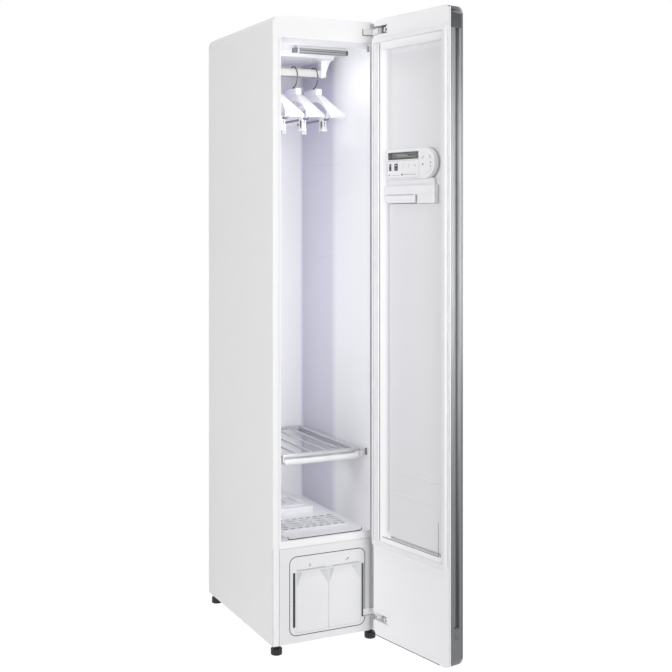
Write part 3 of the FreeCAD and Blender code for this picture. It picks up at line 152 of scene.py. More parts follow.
# Shared finishes: each real surface varies a little in tone and gloss, and has
# a fine grain. One group gives both, and each material sets its own amounts.
def toned_surface():
    """Soft patches between two tones and two gloss values, and a fine grain as height."""
    group = bpy.data.node_groups.new("toned_surface", "ShaderNodeTree")
    for title, kind in (("Place", "Vector"), ("Tone", "Color"), ("Worn Tone", "Color"), ("Gloss", "Float"),
                        ("Worn Gloss", "Float"), ("Patch Scale", "Float"), ("Grain Scale", "Float")):
        group.interface.new_socket(title, in_out="INPUT", socket_type="NodeSocket" + kind)
    for title, kind in (("Colour", "Color"), ("Roughness", "Float"), ("Height", "Float")):
        group.interface.new_socket(title, in_out="OUTPUT", socket_type="NodeSocket" + kind)
    given = group.nodes.new("NodeGroupInput")
    result = group.nodes.new("NodeGroupOutput")
    patches = group.nodes.new("ShaderNodeTexNoise")
    patches.inputs["Detail"].default_value = 4
    grain = group.nodes.new("ShaderNodeTexNoise")
    grain.inputs["Detail"].default_value = 2
    tones = group.nodes.new("ShaderNodeMix")
    tones.data_type = "RGBA"
    gloss = group.nodes.new("ShaderNodeMix")
    join(group, (given, "Place", patches, "Vector"), (given, "Place", grain, "Vector"),
         (given, "Patch Scale", patches, "Scale"), (given, "Grain Scale", grain, "Scale"),
         (patches, "Fac", tones, "Factor"), (given, "Tone", tones, "A"), (given, "Worn Tone", tones, "B"),
         (patches, "Fac", gloss, "Factor"), (given, "Gloss", gloss, "A"), (given, "Worn Gloss", gloss, "B"),
         (tones, "Result", result, "Colour"), (gloss, "Result", result, "Roughness"),
         (grain, "Fac", result, "Height"))
    return group


toned = toned_surface()


def shade(hexa):
    """Linear colour of a written colour such as f4f5f6, by the sRGB curve."""
    parts = [int(hexa[i:i + 2], 16) / 255 for i in (0, 2, 4)]
    return tuple(p / 12.92 if p <= 0.04045 else ((p + 0.055) / 1.055) ** 2.4 for p in parts) + (1,)


def finish_of(name, tone, worn, gloss, worn_gloss, patch=60.0, grain=1200.0, bump=0.08, reach=0.1,
              stretch=None, **values):
    """Material with the shared surface. stretch pulls its grain out along an axis, reach is the depth
    of the grain in mm, and values are set on the shader's own sockets."""
    material = bpy.data.materials.new(name)
    material.use_nodes = True
    tree = material.node_tree
    shader = tree.nodes["Principled BSDF"]
    place, output = tree.nodes.new("ShaderNodeTexCoord"), "Object"
    if stretch:
        pull = tree.nodes.new("ShaderNodeMapping")
        pull.inputs["Scale"].default_value = stretch
        join(tree, (place, output, pull, "Vector"))
        place, output = pull, "Vector"
    surface = tree.nodes.new("ShaderNodeGroup")
    surface.node_tree = toned
    surface.name = "surface"
    for title, value in (("Tone", shade(tone)), ("Worn Tone", shade(worn)), ("Gloss", gloss),
                         ("Worn Gloss", worn_gloss), ("Patch Scale", patch), ("Grain Scale", grain)):
        surface.inputs[title].default_value = value
    bumps = tree.nodes.new("ShaderNodeBump")
    bumps.inputs["Strength"].default_value = bump
    bumps.inputs["Distance"].default_value = reach * mm
    join(tree, (place, output, surface, "Place"), (surface, "Colour", shader, "Base Color"),
         (surface, "Roughness", shader, "Roughness"), (surface, "Height", bumps, "Height"),
         (bumps, "Normal", shader, "Normal"))
    for title, value in values.items():
        shader.inputs[title.replace("_", " ")].default_value = value
    return material


# Case: one folded sheet for the left, top and right, painted gloss white. The
# back is a plain zinc sheet screwed on, and the base a zinc pan on four feet.
def dress(names, material):
    """Gives CAD nodes their finish. Faces that meet at less than the crisp angle shade as one."""
    crisp_angle, weld_distance = 28, 1e-5
    for name in names.split():
        node = nodes[name]
        node.data.materials.clear()
        node.data.materials.append(material)
        for face in node.data.polygons:
            face.use_smooth = True
            face.material_index = 0
        weld = node.modifiers.new("merged", "WELD")
        weld.merge_threshold = weld_distance
        crisp = node.modifiers.new("crisp_edges", "EDGE_SPLIT")
        crisp.split_angle = math.radians(crisp_angle)


white_coat = finish_of("white_coat", "f4f4f5", "f1f1f3", 0.28, 0.34, patch=2.5, grain=700, bump=0.03,
                       Coat_Weight=0.25, Coat_Roughness=0.12)
dress("outer_case", white_coat)
zinc_sheet = finish_of("zinc_sheet", "b4b8ba", "a2a7aa", 0.34, 0.48, grain=1400, bump=0.04, Metallic=0.85)
dress("back_panel base_pan", zinc_sheet)
zinc_steel = finish_of("zinc_steel", "a7a9aa", "8e9091", 0.28, 0.45, patch=300, grain=2500, bump=0.06,
                       Metallic=1.0)
dress("case_screws", zinc_steel)
foot_plastic = finish_of("foot_plastic", "08090a", "101113", 0.28, 0.44, patch=80, grain=1500, bump=0.10)
dress("levelling_feet", foot_plastic)

# Front frame: the folded face of the case round the opening, with the hinge
# brackets screwed to its right side and the door switch at its top right.
# The frame gets a lighter copy of the case's white: painted light that offsets the door's shade on the
# jamb.
frame_coat_painted_lighter = finish_of("frame_coat_painted_lighter", "fcfcfd", "fafafb", 0.28, 0.34, patch=2.5, grain=700, bump=0.03,
                       Coat_Weight=0.25, Coat_Roughness=0.12)
dress("front_frame", frame_coat_painted_lighter)
bracket_coat = finish_of("bracket_coat", "f1f1f2", "e6e6e8", 0.28, 0.38, patch=40, bump=0.06)
dress("hinge_brackets", bracket_coat)
sensor_plastic = finish_of("sensor_plastic", "b4b6b9", "a8aaad", 0.40, 0.50, grain=1500)
dress("door_sensor", sensor_plastic)

# New pieces are drawn in mm on a board that lies on a face of the cabinet:
# a is across, b is height and c stands out from the face towards the viewer.
# The door board lies on the inner face of the door, which is shown open.


def in_mm(place):
    """Place in mm, to the nearest thousandth."""
    return Vector(round(value / mm, 3) for value in place)


def box_of(name):
    """Lowest and highest corner of a CAD node in mm."""
    return [in_mm(corner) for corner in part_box(name)]


frame_low, frame_high = box_of("front_frame")
left_side, right_side, front_face = frame_low.x, frame_high.x, frame_low.y
front_board = Matrix.Translation((0, front_face, 0)) @ Matrix(
    ((1, 0, 0, 0), (0, 0, -1, 0), (0, 1, 0, 0), (0, 0, 0, 1)))
door_joint = next(joint for joint in frame["joints"] if joint["name"] == "door_swing")
door_pins = in_mm(door_joint["pos_m"])
door_turn = math.radians(-door_joint["range_deg"][0])
door_gap = 12
shut_corner = Matrix.Translation((right_side, front_face - door_gap, 0)) @ Matrix(
    ((-1, 0, 0, 0), (0, 0, 1, 0), (0, 1, 0, 0), (0, 0, 0, 1)))
door_board = (Matrix.Translation(door_pins) @ Matrix.Rotation(door_turn, 4, "Z")
              @ Matrix.Translation(-door_pins) @ shut_corner)


def keep(name, shape, material, body, board=None, crisp=32, stands_for=()):
    """Turns a shape in mm into a piece that rides on body. Edges sharper than crisp stay sharp."""
    if board:
        bmesh.ops.transform(shape, matrix=board, verts=shape.verts)
    bmesh.ops.scale(shape, vec=(mm, mm, mm), verts=shape.verts)
    bmesh.ops.recalc_face_normals(shape, faces=shape.faces)
    for face in shape.faces:
        face.smooth = True
    for edge in shape.edges:
        edge.smooth = len(edge.link_faces) == 2 and edge.calc_face_angle() < math.radians(crisp)
    data = bpy.data.meshes.new(name)
    shape.to_mesh(data)
    shape.free()
    data.materials.append(material)
    piece = bpy.data.objects.new(name, data)
    bpy.context.scene.collection.objects.link(piece)
    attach(piece, body)
    if stands_for:
        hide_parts(*stands_for)
    return piece


# Distances under a hair, in mm, count as none.
hair = 1e-3


def slab(shape, low, high, rounding=0.0, steps=3, along=None, ends=None):
    """Box from low to high with round edges.

    along rounds only the edges on that axis, and ends only those at that (axis, side).
    """
    low, high = Vector(low), Vector(high)
    verts = bmesh.ops.create_cube(shape, size=1)["verts"]
    bmesh.ops.scale(shape, vec=high - low, verts=verts)
    bmesh.ops.translate(shape, vec=(low + high) / 2, verts=verts)
    edges = list({edge for vert in verts for edge in vert.link_edges})
    if along is not None:
        edges = [e for e in edges if abs((e.verts[0].co - e.verts[1].co)[along]) > hair]
    if ends is not None:
        axis, side = ends
        limit = (low, high)[side][axis]
        edges = [e for e in edges if all(abs(v.co[axis] - limit) < hair for v in e.verts)]
    if rounding:
        bmesh.ops.bevel(shape, geom=edges, offset=rounding, offset_type="OFFSET", segments=steps,
                        profile=0.5, affect="EDGES", material=-1, clamp_overlap=True)


def keep_slabs(name, material, body, board, *slabs, **more):
    """Piece made of slabs only, each given as slab takes it."""
    shape = bmesh.new()
    for sizes in slabs:
        slab(shape, *sizes)
    keep(name, shape, material, body, board, **more)


def ring(shape, a0, a1, b0, b1, corner, width, c0, c1, steps=6):
    """Flat frame with round corners, width wide inwards from the outline a0..a1, b0..b1."""
    before = set(shape.faces)
    verts = bmesh.ops.create_grid(shape, x_segments=1, y_segments=1, size=0.5)["verts"]
    bmesh.ops.scale(shape, vec=(a1 - a0, b1 - b0, 1), verts=verts)
    bmesh.ops.translate(shape, vec=((a0 + a1) / 2, (b0 + b1) / 2, c0), verts=verts)
    bmesh.ops.bevel(shape, geom=verts, offset=corner, offset_type="OFFSET", segments=steps, profile=0.5,
                    affect="VERTICES", material=-1)
    sheet = [face for face in shape.faces if face not in before]
    rim = bmesh.ops.inset_region(shape, faces=sheet, thickness=width, use_boundary=True,
                                 use_even_offset=True)["faces"]
    middle = [face for face in shape.faces if face not in before and face not in set(rim)]
    bmesh.ops.delete(shape, geom=middle, context="FACES")
    raised = bmesh.ops.extrude_face_region(shape, geom=rim, use_keep_orig=True)["geom"]
    bmesh.ops.translate(shape, vec=(0, 0, c1 - c0),
                        verts=[part for part in raised if isinstance(part, bmesh.types.BMVert)])


def tube(shape, start, end, radius, sides=20):
    """Round bar from start to end with round ends."""
    start, end = Vector(start), Vector(end)
    turn = (end - start).to_track_quat("Z", "Y").to_matrix().to_4x4()
    bmesh.ops.create_cone(shape, cap_ends=True, segments=sides, radius1=radius, radius2=radius,
                          depth=(end - start).length, matrix=Matrix.Translation((start + end) / 2) @ turn)
    for point in (start, end):
        bmesh.ops.create_uvsphere(shape, u_segments=sides, v_segments=sides // 2, radius=radius,
                                  matrix=Matrix.Translation(point))


def cut_at(shape, place, away, clear=True, close=True):
    """Cuts the shape by a plane at place. clear takes off the side that away points to, close caps it."""
    bmesh.ops.bisect_plane(shape, geom=shape.verts[:] + shape.edges[:] + shape.faces[:], dist=hair,
                           plane_co=place, plane_no=away, clear_outer=clear)
    if clear and close:
        bmesh.ops.holes_fill(shape, edges=[edge for edge in shape.edges if edge.is_boundary])


# Hinge details: a dark pad shows as a fine line round each bracket, painted shadow of the gap round the
# bracket; a grey stop sits over the top one; and a plastic cup lines each pocket in the door, the top cup
# painted darker as shade in its pocket.
pad_rubber_and_shadow = finish_of("pad_rubber_and_shadow", "4a4b4d", "56575a", 0.55, 0.68, grain=1500, bump=0.12)
strip_plastic = finish_of("strip_plastic", "c3c5c7", "b9bbbd", 0.40, 0.50, patch=30)
pale_cup = finish_of("pale_cup", "f0f0f1", "e8e8ea", 0.36, 0.48, grain=1400)
cup_painted_shade = finish_of("cup_painted_shade", "9c9ea1", "8e9093", 0.36, 0.48, grain=1400, bump=0.10)
pin_a, pin_reach, pin_radius = door_pins.x, front_face - door_pins.y, 6.4
plate_left, plate_drop, plate_rise = 274.6, 7.8, 11
cup_start, cup_end, cup_half, cup_depth, cup_wall = 1.0, 65.6, 13.4, 35.9, 0.7
# The high cup is a darker copy of the low cup's plastic: painted shade in the top pocket. The dark pad is
# painted shadow round each plate.
for label, level, lining in (("low", 83, pale_cup), ("high", 1818, cup_painted_shade)):
    keep_slabs("hinge_shadow_line_" + label, pad_rubber_and_shadow, "cabinet", front_board,
               ((plate_left - 2.2, level - 9.6, 0.05), (right_side - 3.4, level + 10, 0.8)))
    shape = bmesh.new()
    slab(shape, (plate_left, level - plate_drop, 0), (right_side - 2, level + plate_rise, 3.4), 1.0, 2)
    slab(shape, (pin_a - 10, level - plate_drop, 1), (pin_a + 5.5, level + plate_rise, pin_reach), 1.0, 2)
    tube(shape, (pin_a, level - 9, pin_reach), (pin_a, level + 12, pin_reach), pin_radius)
    keep("hinge_plate_" + label, shape, bracket_coat, "cabinet", front_board,
         stands_for=("hinge_brackets",) if label == "low" else ())
    keep_slabs("hinge_link_" + label, bracket_coat, "door", door_board,
               ((46, level - 8, -5), (51, level + 6, -1.5), 0.6),
               ((56, level + 1, -6), (63, level + 9, -1.5), 0.6),
               ((54, level - 9, -6), (62, level - 4, -2.5), 0.6))
    shape = bmesh.new()
    cup_low, cup_high = level - cup_half, level + cup_half
    slab(shape, (cup_start, cup_low, -cup_depth), (cup_end, cup_high, -cup_depth + 0.6))
    slab(shape, (cup_end - cup_wall, cup_low, -cup_depth), (cup_end, cup_high, -0.3))
    slab(shape, (cup_start, cup_low, -cup_depth), (cup_end, cup_low + 2.4, -0.3))
    slab(shape, (cup_start, cup_high - 2.4, -cup_depth), (cup_end, cup_high, -0.3))
    keep("hinge_cup_" + label, shape, lining, "door", door_board)
    shape = bmesh.new()
    ring(shape, cup_start - 1.5, cup_end + 1.6, cup_low - 1.2, cup_high + 1.2, 1.5, 2.6, -0.2, 0.25)
    cut_at(shape, (20, 0, 0), (-1, 0, 0))
    keep("hinge_cup_edge_" + label, shape, bracket_coat, "door", door_board)
keep_slabs("hinge_stop", strip_plastic, "cabinet", front_board, ((296, 1833, 0), (320, 1843.5, 8), 1.5))

# Cavity: a vacuum formed white liner with foam behind it, a tray floor with a
# raised ledge, the slotted steam hood and the lint filter.
def fading_tone(material, tone, *fades):
    """Blends tone in where every (axis, start, end) fade, in mm, is past its end."""
    tree = material.node_tree
    split = tree.nodes.new("ShaderNodeSeparateXYZ")
    join(tree, (tree.nodes.new("ShaderNodeTexCoord"), "Object", split, 0))
    mask = None
    for axis, start, end in fades:
        fade = tree.nodes.new("ShaderNodeMapRange")
        fade.interpolation_type = "SMOOTHSTEP"
        fade.inputs["From Min"].default_value = start * mm
        fade.inputs["From Max"].default_value = end * mm
        join(tree, (split, axis, fade, "Value"))
        last, mask = mask, fade
        if last:
            mask = tree.nodes.new("ShaderNodeMath")
            mask.operation = "MULTIPLY"
            join(tree, (last, 0, mask, 0), (fade, 0, mask, 1))
    blend = tree.nodes.new("ShaderNodeMix")
    blend.data_type = "RGBA"
    blend.inputs["B"].default_value = shade(tone)
    join(tree, (mask, 0, blend, "Factor"), (tree.nodes["surface"], "Colour", blend, "A"),
         (blend, "Result", tree.nodes["Principled BSDF"], "Base Color"))


liner_look = ("f3f3f6", "f0f0f3", 0.28, 0.36, 4, 500, 0.05, 0.15)
liner_plastic = finish_of("liner_plastic", *liner_look)
dress("cavity_floor", liner_plastic)
wall_plastic_painted_shade = finish_of("wall_plastic_painted_shade", *liner_look)
# Painted shade: fading in from y 205 to 262 mm and from x 285 to 296 mm, at the rear of the right wall, the
# liner turns a darker lavender that stands in for shade and the violet glow of the lamp.
fading_tone(wall_plastic_painted_shade, "d8d7e4", ("Y", 205, 262), ("X", 285, 296))
dress("inner_liner", wall_plastic_painted_shade)
hood_plastic = finish_of("hood_plastic", "e9e9ec", "e2e2e6", 0.34, 0.44, patch=12, grain=900, bump=0.06)
dress("steam_grille lint_filter", hood_plastic)
foam_skin = finish_of("foam_skin", "d9c9a0", "c9b684", 0.85, 0.95, patch=30, grain=260, bump=0.5, reach=0.6)
dress("foam_jacket door_foam", foam_skin)

tray_low, tray_high = box_of("cavity_floor")
# A black line along the tray's front edge, with upturned ends, is painted shadow in the gap between the
# tray and the frame's lip.
gap_shade_margin, gap_shade_corner, gap_shade_width, corner_rise = 0.8, 8.0, 2.2, 9.5
shape = bmesh.new()
ring(shape, tray_low.x - gap_shade_margin, tray_high.x + gap_shade_margin, tray_low.z + 0.1, 385,
     gap_shade_corner, gap_shade_width, -7.0, -6.4, steps=5)
cut_at(shape, (0, tray_low.z + corner_rise, 0), (0, 1, 0))
seal_and_gap_shade_black = finish_of("seal_and_gap_shade_black", "222325", "2b2c2e", 0.50, 0.62, grain=1400)
keep("tray_gap_shade", shape, seal_and_gap_shade_black, "cabinet", front_board)
# The hood's slots are grey patches on its top: painted shade in the slot openings.
slot_shade_grey = finish_of("slot_shade_grey", "85878b", "797b7f", 0.50, 0.60, grain=1400, bump=0.06)
hood_low, hood_high = box_of("steam_grille")
slot_count, slot_pitch, slot_length, slot_width = 9, 23.5, 14, 6
shape = bmesh.new()
for row in (hood_low.y + 5, hood_high.y - 11):
    for step in range(slot_count):
        slot_left = hood_low.x + 10 + step * slot_pitch
        slab(shape, (slot_left, row, hood_high.z - 0.1),
             (slot_left + slot_length, row + slot_width, hood_high.z + 0.4), 0.2)
keep("steam_slots", shape, slot_shade_grey, "cabinet")

# Lamp and shaker: the lamp sits in a brushed bar across the front of the
# ceiling. Behind it a white cover hides the motor that shakes the bar.
lamp_metal = finish_of("lamp_metal", "a3a4a6", "8d8f91", 0.30, 0.42, patch=12, grain=260, bump=0.10,
                       stretch=(1, 14, 14), Metallic=0.9)
dress("lamp_bar", lamp_metal)
dark_metal = finish_of("dark_metal", "97989a", "88898b", 0.34, 0.46, grain=900, bump=0.2, Metallic=0.9)
clip_steel_and_slit_shade = finish_of("clip_steel_and_slit_shade", "4a4b4e", "5a5b5e", 0.28, 0.36, patch=200, grain=1800, bump=0.05,
                       Metallic=0.8)
lamp_left, lamp_right, lamp_front, lamp_back, lamp_under, lamp_over = 84, 238, 24, 41, 1751, 1766
end_inset, rib_count, rib_pitch, rib_width = 0.5, 5, 2.6, 1.8
shape = bmesh.new()
slab(shape, (lamp_left, lamp_front, lamp_under), (lamp_right, lamp_back, lamp_over), 2.5, 3, along=0)
keep("lamp_housing", shape, lamp_metal, "cabinet", stands_for=("lamp_bar",))
shape = bmesh.new()
for step in range(rib_count):
    rib_left = lamp_left - 17 + step * rib_pitch
    slab(shape, (rib_left, lamp_front + end_inset, lamp_under + end_inset),
         (rib_left + rib_width, lamp_back - end_inset, lamp_over - end_inset), 0.6)
slab(shape, (lamp_left - 17.2, lamp_front + 2, lamp_under + 2),
     (lamp_left - 4, lamp_back - 2, lamp_over - 2), 1)
slab(shape, (lamp_left + 2, lamp_front, 1763.4), (lamp_right - 2, lamp_front + 1, 1765.2), 0.3)
keep("lamp_ends", shape, dark_metal, "cabinet")
keep_slabs("lamp_tip", clip_steel_and_slit_shade, "cabinet", None,
           ((lamp_right, lamp_front + end_inset, lamp_under + end_inset),
            (lamp_right + 7, lamp_back - end_inset, lamp_over - end_inset), 2.0),
           ((lamp_left, lamp_front - 0.3, 1757.4), (lamp_right, lamp_front + 0.3, 1759.0), 0.2))
keep_slabs("lamp_mount", hood_plastic, "cabinet", None,
           ((lamp_left - 8, lamp_front + 3, lamp_over - 2),
            (lamp_right + 2, lamp_back - 2, lamp_over + 6), 1),
           ((lamp_left - 5, lamp_front + 0.2, lamp_under - 0.2),
            (lamp_left + 0.5, lamp_back, lamp_over + 0.4), 1.2))
lens_plastic = finish_of("lens_plastic", "f4f2ff", "ecebfa", 0.28, 0.34, patch=30, grain=800, bump=0.03,
                         Emission_Color=(0.86, 0.80, 1, 1), Emission_Strength=0.7)
dress("lamp_lens", lens_plastic)

# The glow of the lens inside the cavity is carried by small hidden lamps.
violet = (0.42, 0.30, 1)
for label, place, target, width, height, watts, colour in (
        ("haze", (0.11, 0.30, 1.69), (0.24, 0.40, 0.9), 0.16, 0.16, 0.045, violet),
        ("back_fill", (0.060, -0.011, 1.17), (0.06, 0.5, 1.17), 0.08, 1.10, 0.94, white[:3]),
        ("floor_fill", (0.15, 0.16, 0.52), (0.15, 0.26, 0.327), 0.20, 0.20, 0.08, white[:3]),
        ("wall_fill", (0.243, 0.15, 1.63), (0.298, 0.16, 1.63), 0.12, 0.28, 0.034, white[:3]),
        ("glow", (0.200, 0.03, 1.69), (0.298, 0.06, 1.645), 0.06, 0.06, 0.045, white[:3])):
    softbox("cavity_" + label, place, target, width, height, watts, colour).visible_camera = False

white_plastic = finish_of("white_plastic", "f3f3f5", "eeeef1", 0.28, 0.34, patch=14, grain=900, bump=0.05)
dress("drive_cover", white_plastic)
dress("drive_motor", zinc_steel)
grey_plastic = finish_of("grey_plastic", "8f9397", "83878b", 0.40, 0.52, patch=40)
dress("crank_disc", grey_plastic)

# Hanging bar and its carriage: a deep white bar between two curved arms that
# lean in from the shaker sled, with a latch at the top of the right arm.
rail_painted_shade = finish_of("rail_painted_shade", "8d8c98", "807f8b", 0.36, 0.48, bump=0.06)
bar_plastic = finish_of("bar_plastic", "e1e1de", "dbdbd8", 0.28, 0.34, patch=14, grain=900, bump=0.05)
dress("hanging_bar", bar_plastic)
bar_low, bar_high = box_of("hanging_bar")
bar_y, underside_half = (bar_low.y + bar_high.y) / 2, 7.4
# A violet grey strip under the bar is painted shade on the bar's underside.
keep_slabs("bar_underside_shade", rail_painted_shade, "carriage", None,
           ((bar_low.x + 1, bar_y - underside_half, bar_low.z + 0.1),
            (bar_high.x - 1, bar_y + underside_half, bar_low.z + 2.1), 0.6, 2))
# Each arm level is a height and how far the arm's outer face stands off the middle there.
arm_levels = ((1700.6, 85), (1704, 90), (1708, 93.5), (1718, 97), (1731, 101), (1745, 107), (1756, 114),
              (1766, 126))
arm_inner, arm_half_depth, arm_corner, least_rise, least_turn = 78.5, 13, 4, 1, 1
sled_low, sled_high = box_of("carriage")
sled_half, sled_bottom = 89, 1758.5
middle_x = (left_side + right_side) / 2
shape = bmesh.new()
for side in (-1, 1):
    arm = bmesh.new()
    slab(arm, (0, bar_y - arm_half_depth, arm_levels[0][0]), (1, bar_y + arm_half_depth, arm_levels[-1][0]))
    for level, reach in arm_levels[1:-1]:
        cut_at(arm, (0, 0, level), (0, 0, 1), clear=False)
    for level, reach in arm_levels:
        outer = [v for v in arm.verts if abs(v.co.z - level) < hair and v.co.x > 0.5]
        bmesh.ops.translate(arm, vec=(reach - 1, 0, 0), verts=outer)
    bmesh.ops.translate(arm, vec=(arm_inner, 0, 0), verts=[v for v in arm.verts if v.co.x < 0.5])
    upright = [e for e in arm.edges if abs(e.verts[0].co.y - e.verts[1].co.y) < hair
               and abs(e.verts[0].co.z - e.verts[1].co.z) > least_rise and e.calc_face_angle() > least_turn]
    bmesh.ops.bevel(arm, geom=upright, offset=arm_corner, offset_type="OFFSET", segments=4, profile=0.5,
                    affect="EDGES", material=-1, clamp_overlap=True)
    bmesh.ops.scale(arm, vec=(side, 1, 1), verts=arm.verts)
    bmesh.ops.translate(arm, vec=(middle_x, 0, 0), verts=arm.verts)
    whole = bpy.data.meshes.new("arm")
    arm.to_mesh(whole)
    arm.free()
    shape.from_mesh(whole)
    bpy.data.meshes.remove(whole)
slab(shape, (middle_x - sled_half, sled_low.y + 1, sled_bottom),
     (middle_x + sled_half, sled_high.y - 1, sled_high.z - 0.5), 1)
keep("carriage_shell", shape, white_plastic, "carriage", stands_for=("carriage",))
latch_front, latch_back = 183, 187.5
keep_slabs("arm_latch", bracket_coat, "carriage", None,
           ((262, latch_front, 1757), (275, latch_back, 1764), 1.5),
           ((194, latch_front, 1749), (200, latch_back, 1753), 1.0))

# Hangers: a white moulded body that widens to round tips, a bent wire hook,
# a trouser rail and two sprung clips with white jaws.
wire_steel = finish_of("wire_steel", "77787b", "5f6164", 0.12, 0.24, patch=200, grain=1800, bump=0.03,
                       Metallic=1.0)
hanger_plastic = finish_of("hanger_plastic", "f5f5f7", "efeff2", 0.20, 0.27, patch=20, grain=900, bump=0.04)
hook_y, hook_z, hook_radius, hook_turn, hook_steps, wire_radius = bar_y - 6, 1699.8, 32, 240, 40, 1.9
# Each section of the body is its distance from the neck, its drop, its height and its width.
sections = ((0, 22, 13, 19), (46, 17, 26, 24), (64, 25, 18, 25), (107, 49, 11, 30), (139, 66, 11, 39),
            (165, 82, 11, 48), (180, 90, 11, 54), (186, 94, 7, 49))
body_half, body_crease, soft_levels = sections[-1][0], 0.72, 3
neck_half, neck_drop, stem_run, stem_half, rail_half, rail_drop = 49, 34, 108, 4, 112, 103
for number in (1, 2, 3):
    body = f"hanger_{number}_body"
    hanger_low, hanger_high = box_of(f"hanger_{number}")
    x, neck_z = (hanger_low.x + hanger_high.x) / 2, hanger_high.z
    dress(f"hanger_clips_{number}", hanger_plastic)
    shape = bmesh.new()
    wire_foot = (x, hook_y, hook_z - hook_radius)
    upright = Matrix.Translation(wire_foot) @ Matrix.Rotation(math.radians(90), 4, "X")
    wire = bmesh.ops.create_circle(shape, segments=14, radius=wire_radius, matrix=upright)["verts"]
    bmesh.ops.spin(shape, geom=wire + list({edge for vert in wire for edge in vert.link_edges}),
                   axis=(1, 0, 0), cent=(x, hook_y, hook_z), angle=math.radians(-hook_turn),
                   steps=hook_steps, dvec=(0, 0, 0))
    tube(shape, (x, bar_y, neck_z - 6), (x, hook_y - 1, hook_z - hook_radius), wire_radius + 0.3, 14)
    keep(f"hanger_{number}_hook_wire", shape, wire_steel, body, stands_for=(f"hanger_hook_{number}",))
    shape = bmesh.new()
    slab(shape, (-0.5, -body_half, -1), (0.5, body_half, 0))
    crease = shape.edges.layers.float.new("crease_edge")
    for edge in shape.edges:
        edge[crease] = body_crease
    for run, drop, height, width in sections[:-1]:
        for side in (-1, 1):
            cut_at(shape, (0, side * run, 0), (0, 1, 0), clear=False)
    for run, drop, height, width in sections:
        for side in (-1, 1) if run else (1,):
            loop = [v for v in shape.verts if abs(v.co.y - side * run) < hair]
            bmesh.ops.scale(shape, vec=(width, 1, height), verts=loop)
            bmesh.ops.translate(shape, vec=(0, 0, -drop), verts=loop)
    bmesh.ops.translate(shape, vec=(x, bar_y, neck_z), verts=shape.verts)
    piece = keep(f"hanger_{number}_shell", shape, hanger_plastic, body, crisp=180,
                 stands_for=(f"hanger_{number}",))
    soft = piece.modifiers.new("soft_form", "SUBSURF")
    soft.levels = soft.render_levels = soft_levels
    shape = bmesh.new()
    slab(shape, (x - 9.5, bar_y - neck_half, neck_z - neck_drop),
         (x + 9.5, bar_y + neck_half, neck_z), 3, 4)
    for stem_y in (bar_y - stem_run, bar_y + stem_run):
        slab(shape, (x - 3, stem_y - stem_half, neck_z - rail_drop + 2),
             (x + 3, stem_y + stem_half, neck_z - 53), 1.5)
    keep(f"hanger_{number}_neck", shape, hanger_plastic, body)
    # The trouser rail's grey is painted shade: the rail lies in the shadow of the body.
    shape = bmesh.new()
    slab(shape, (x - 3.5, bar_y - rail_half, neck_z - rail_drop),
         (x + 3.5, bar_y + rail_half, neck_z - rail_drop + 7), 3.4, 5, along=1)
    keep(f"hanger_{number}_rail", shape, rail_painted_shade, body)
    # Each clip has a dark steel spring across its top, and two thin dark strips on its side that are
    # painted shade in the slit between the jaws.
    shape = bmesh.new()
    for near in (bar_y - 88.5, bar_y + 61.5):
        slab(shape, (x - 6, near + 2, neck_z - 95), (x + 6, near + 16, neck_z - 91.6), 1.0)
        slab(shape, (x - 8.5, near + 5, neck_z - 121), (x - 7.9, near + 12, neck_z - 103), 0.2)
        slab(shape, (x - 8.5, near + 7, neck_z - 127), (x - 7.9, near + 10, neck_z - 119), 0.2)
    keep(f"hanger_{number}_springs_and_slit_shade", shape, clip_steel_and_slit_shade, body)

# Shelf: a thick front tube with a rail above it, two rails down each side and
# four thin rods between them, welded and coated in pale silver.
rack_coat = finish_of("rack_coat", "d0d1d4", "c4c5c8", 0.28, 0.34, patch=30, grain=1000, bump=0.05,
                      Metallic=0.6)
rack_left, rack_right, rack_front, rack_back, rack_z = middle_x - 123, middle_x + 123, 22, 446, 563
lower_front, lower_back, lower_z, rail_radius, rod_count, rod_radius = 30, 440, 547, 5.5, 4, 3.2
shape = bmesh.new()
tube(shape, (rack_left + 1, rack_front, rack_z + 1.5), (rack_right - 1, rack_front, rack_z + 1.5), 6.5)
tube(shape, (rack_left, rack_back, rack_z), (rack_right, rack_back, rack_z), rail_radius)
for side, rail_x in ((-1, rack_left), (1, rack_right)):
    tube(shape, (rail_x, rack_front, rack_z - 0.2), (rail_x, rack_back, rack_z - 0.2), rail_radius)
    lower_x = rail_x - side * 12
    tube(shape, (lower_x, lower_front, lower_z), (lower_x, lower_back, lower_z + 2), rail_radius)
    tube(shape, (rail_x - side, rack_front - 1, lower_z + 3), (rail_x - side, rack_front, rack_z), 6)
    post_x = rail_x - side * 11
    tube(shape, (post_x, lower_back, lower_z + 2), (post_x, rack_back - 2, rack_z - 1), 4.5)
for step in range(1, rod_count + 1):
    rod_x = rack_left + (rack_right - rack_left) * step / (rod_count + 1)
    tube(shape, (rod_x, rack_front, rack_z + 3), (rod_x, rack_back, rack_z + 3), rod_radius, 12)
tube(shape, (rack_right - 6, rack_front, 556), (rack_right - 1, rack_front + 18, 556), 6.0)
keep("shelf_frame", shape, rack_coat, "shelf", stands_for=("shelf_rack",))
# The front tube gets a whiter copy of the rack's coat: painted light for the highlight along the tube.
tube_coat_painted_lighter = finish_of("tube_coat_painted_lighter", "f6f6f8", "f0f0f2", 0.20, 0.27, patch=30, grain=1000, bump=0.04,
                      Metallic=0.15, Coat_Weight=0.4, Coat_Roughness=0.1)
shape = bmesh.new()
tube(shape, (rack_left + 8, rack_front - 2, lower_z), (rack_right - 8, rack_front - 2, lower_z), 9)
keep("shelf_front_tube", shape, tube_coat_painted_lighter, "shelf")
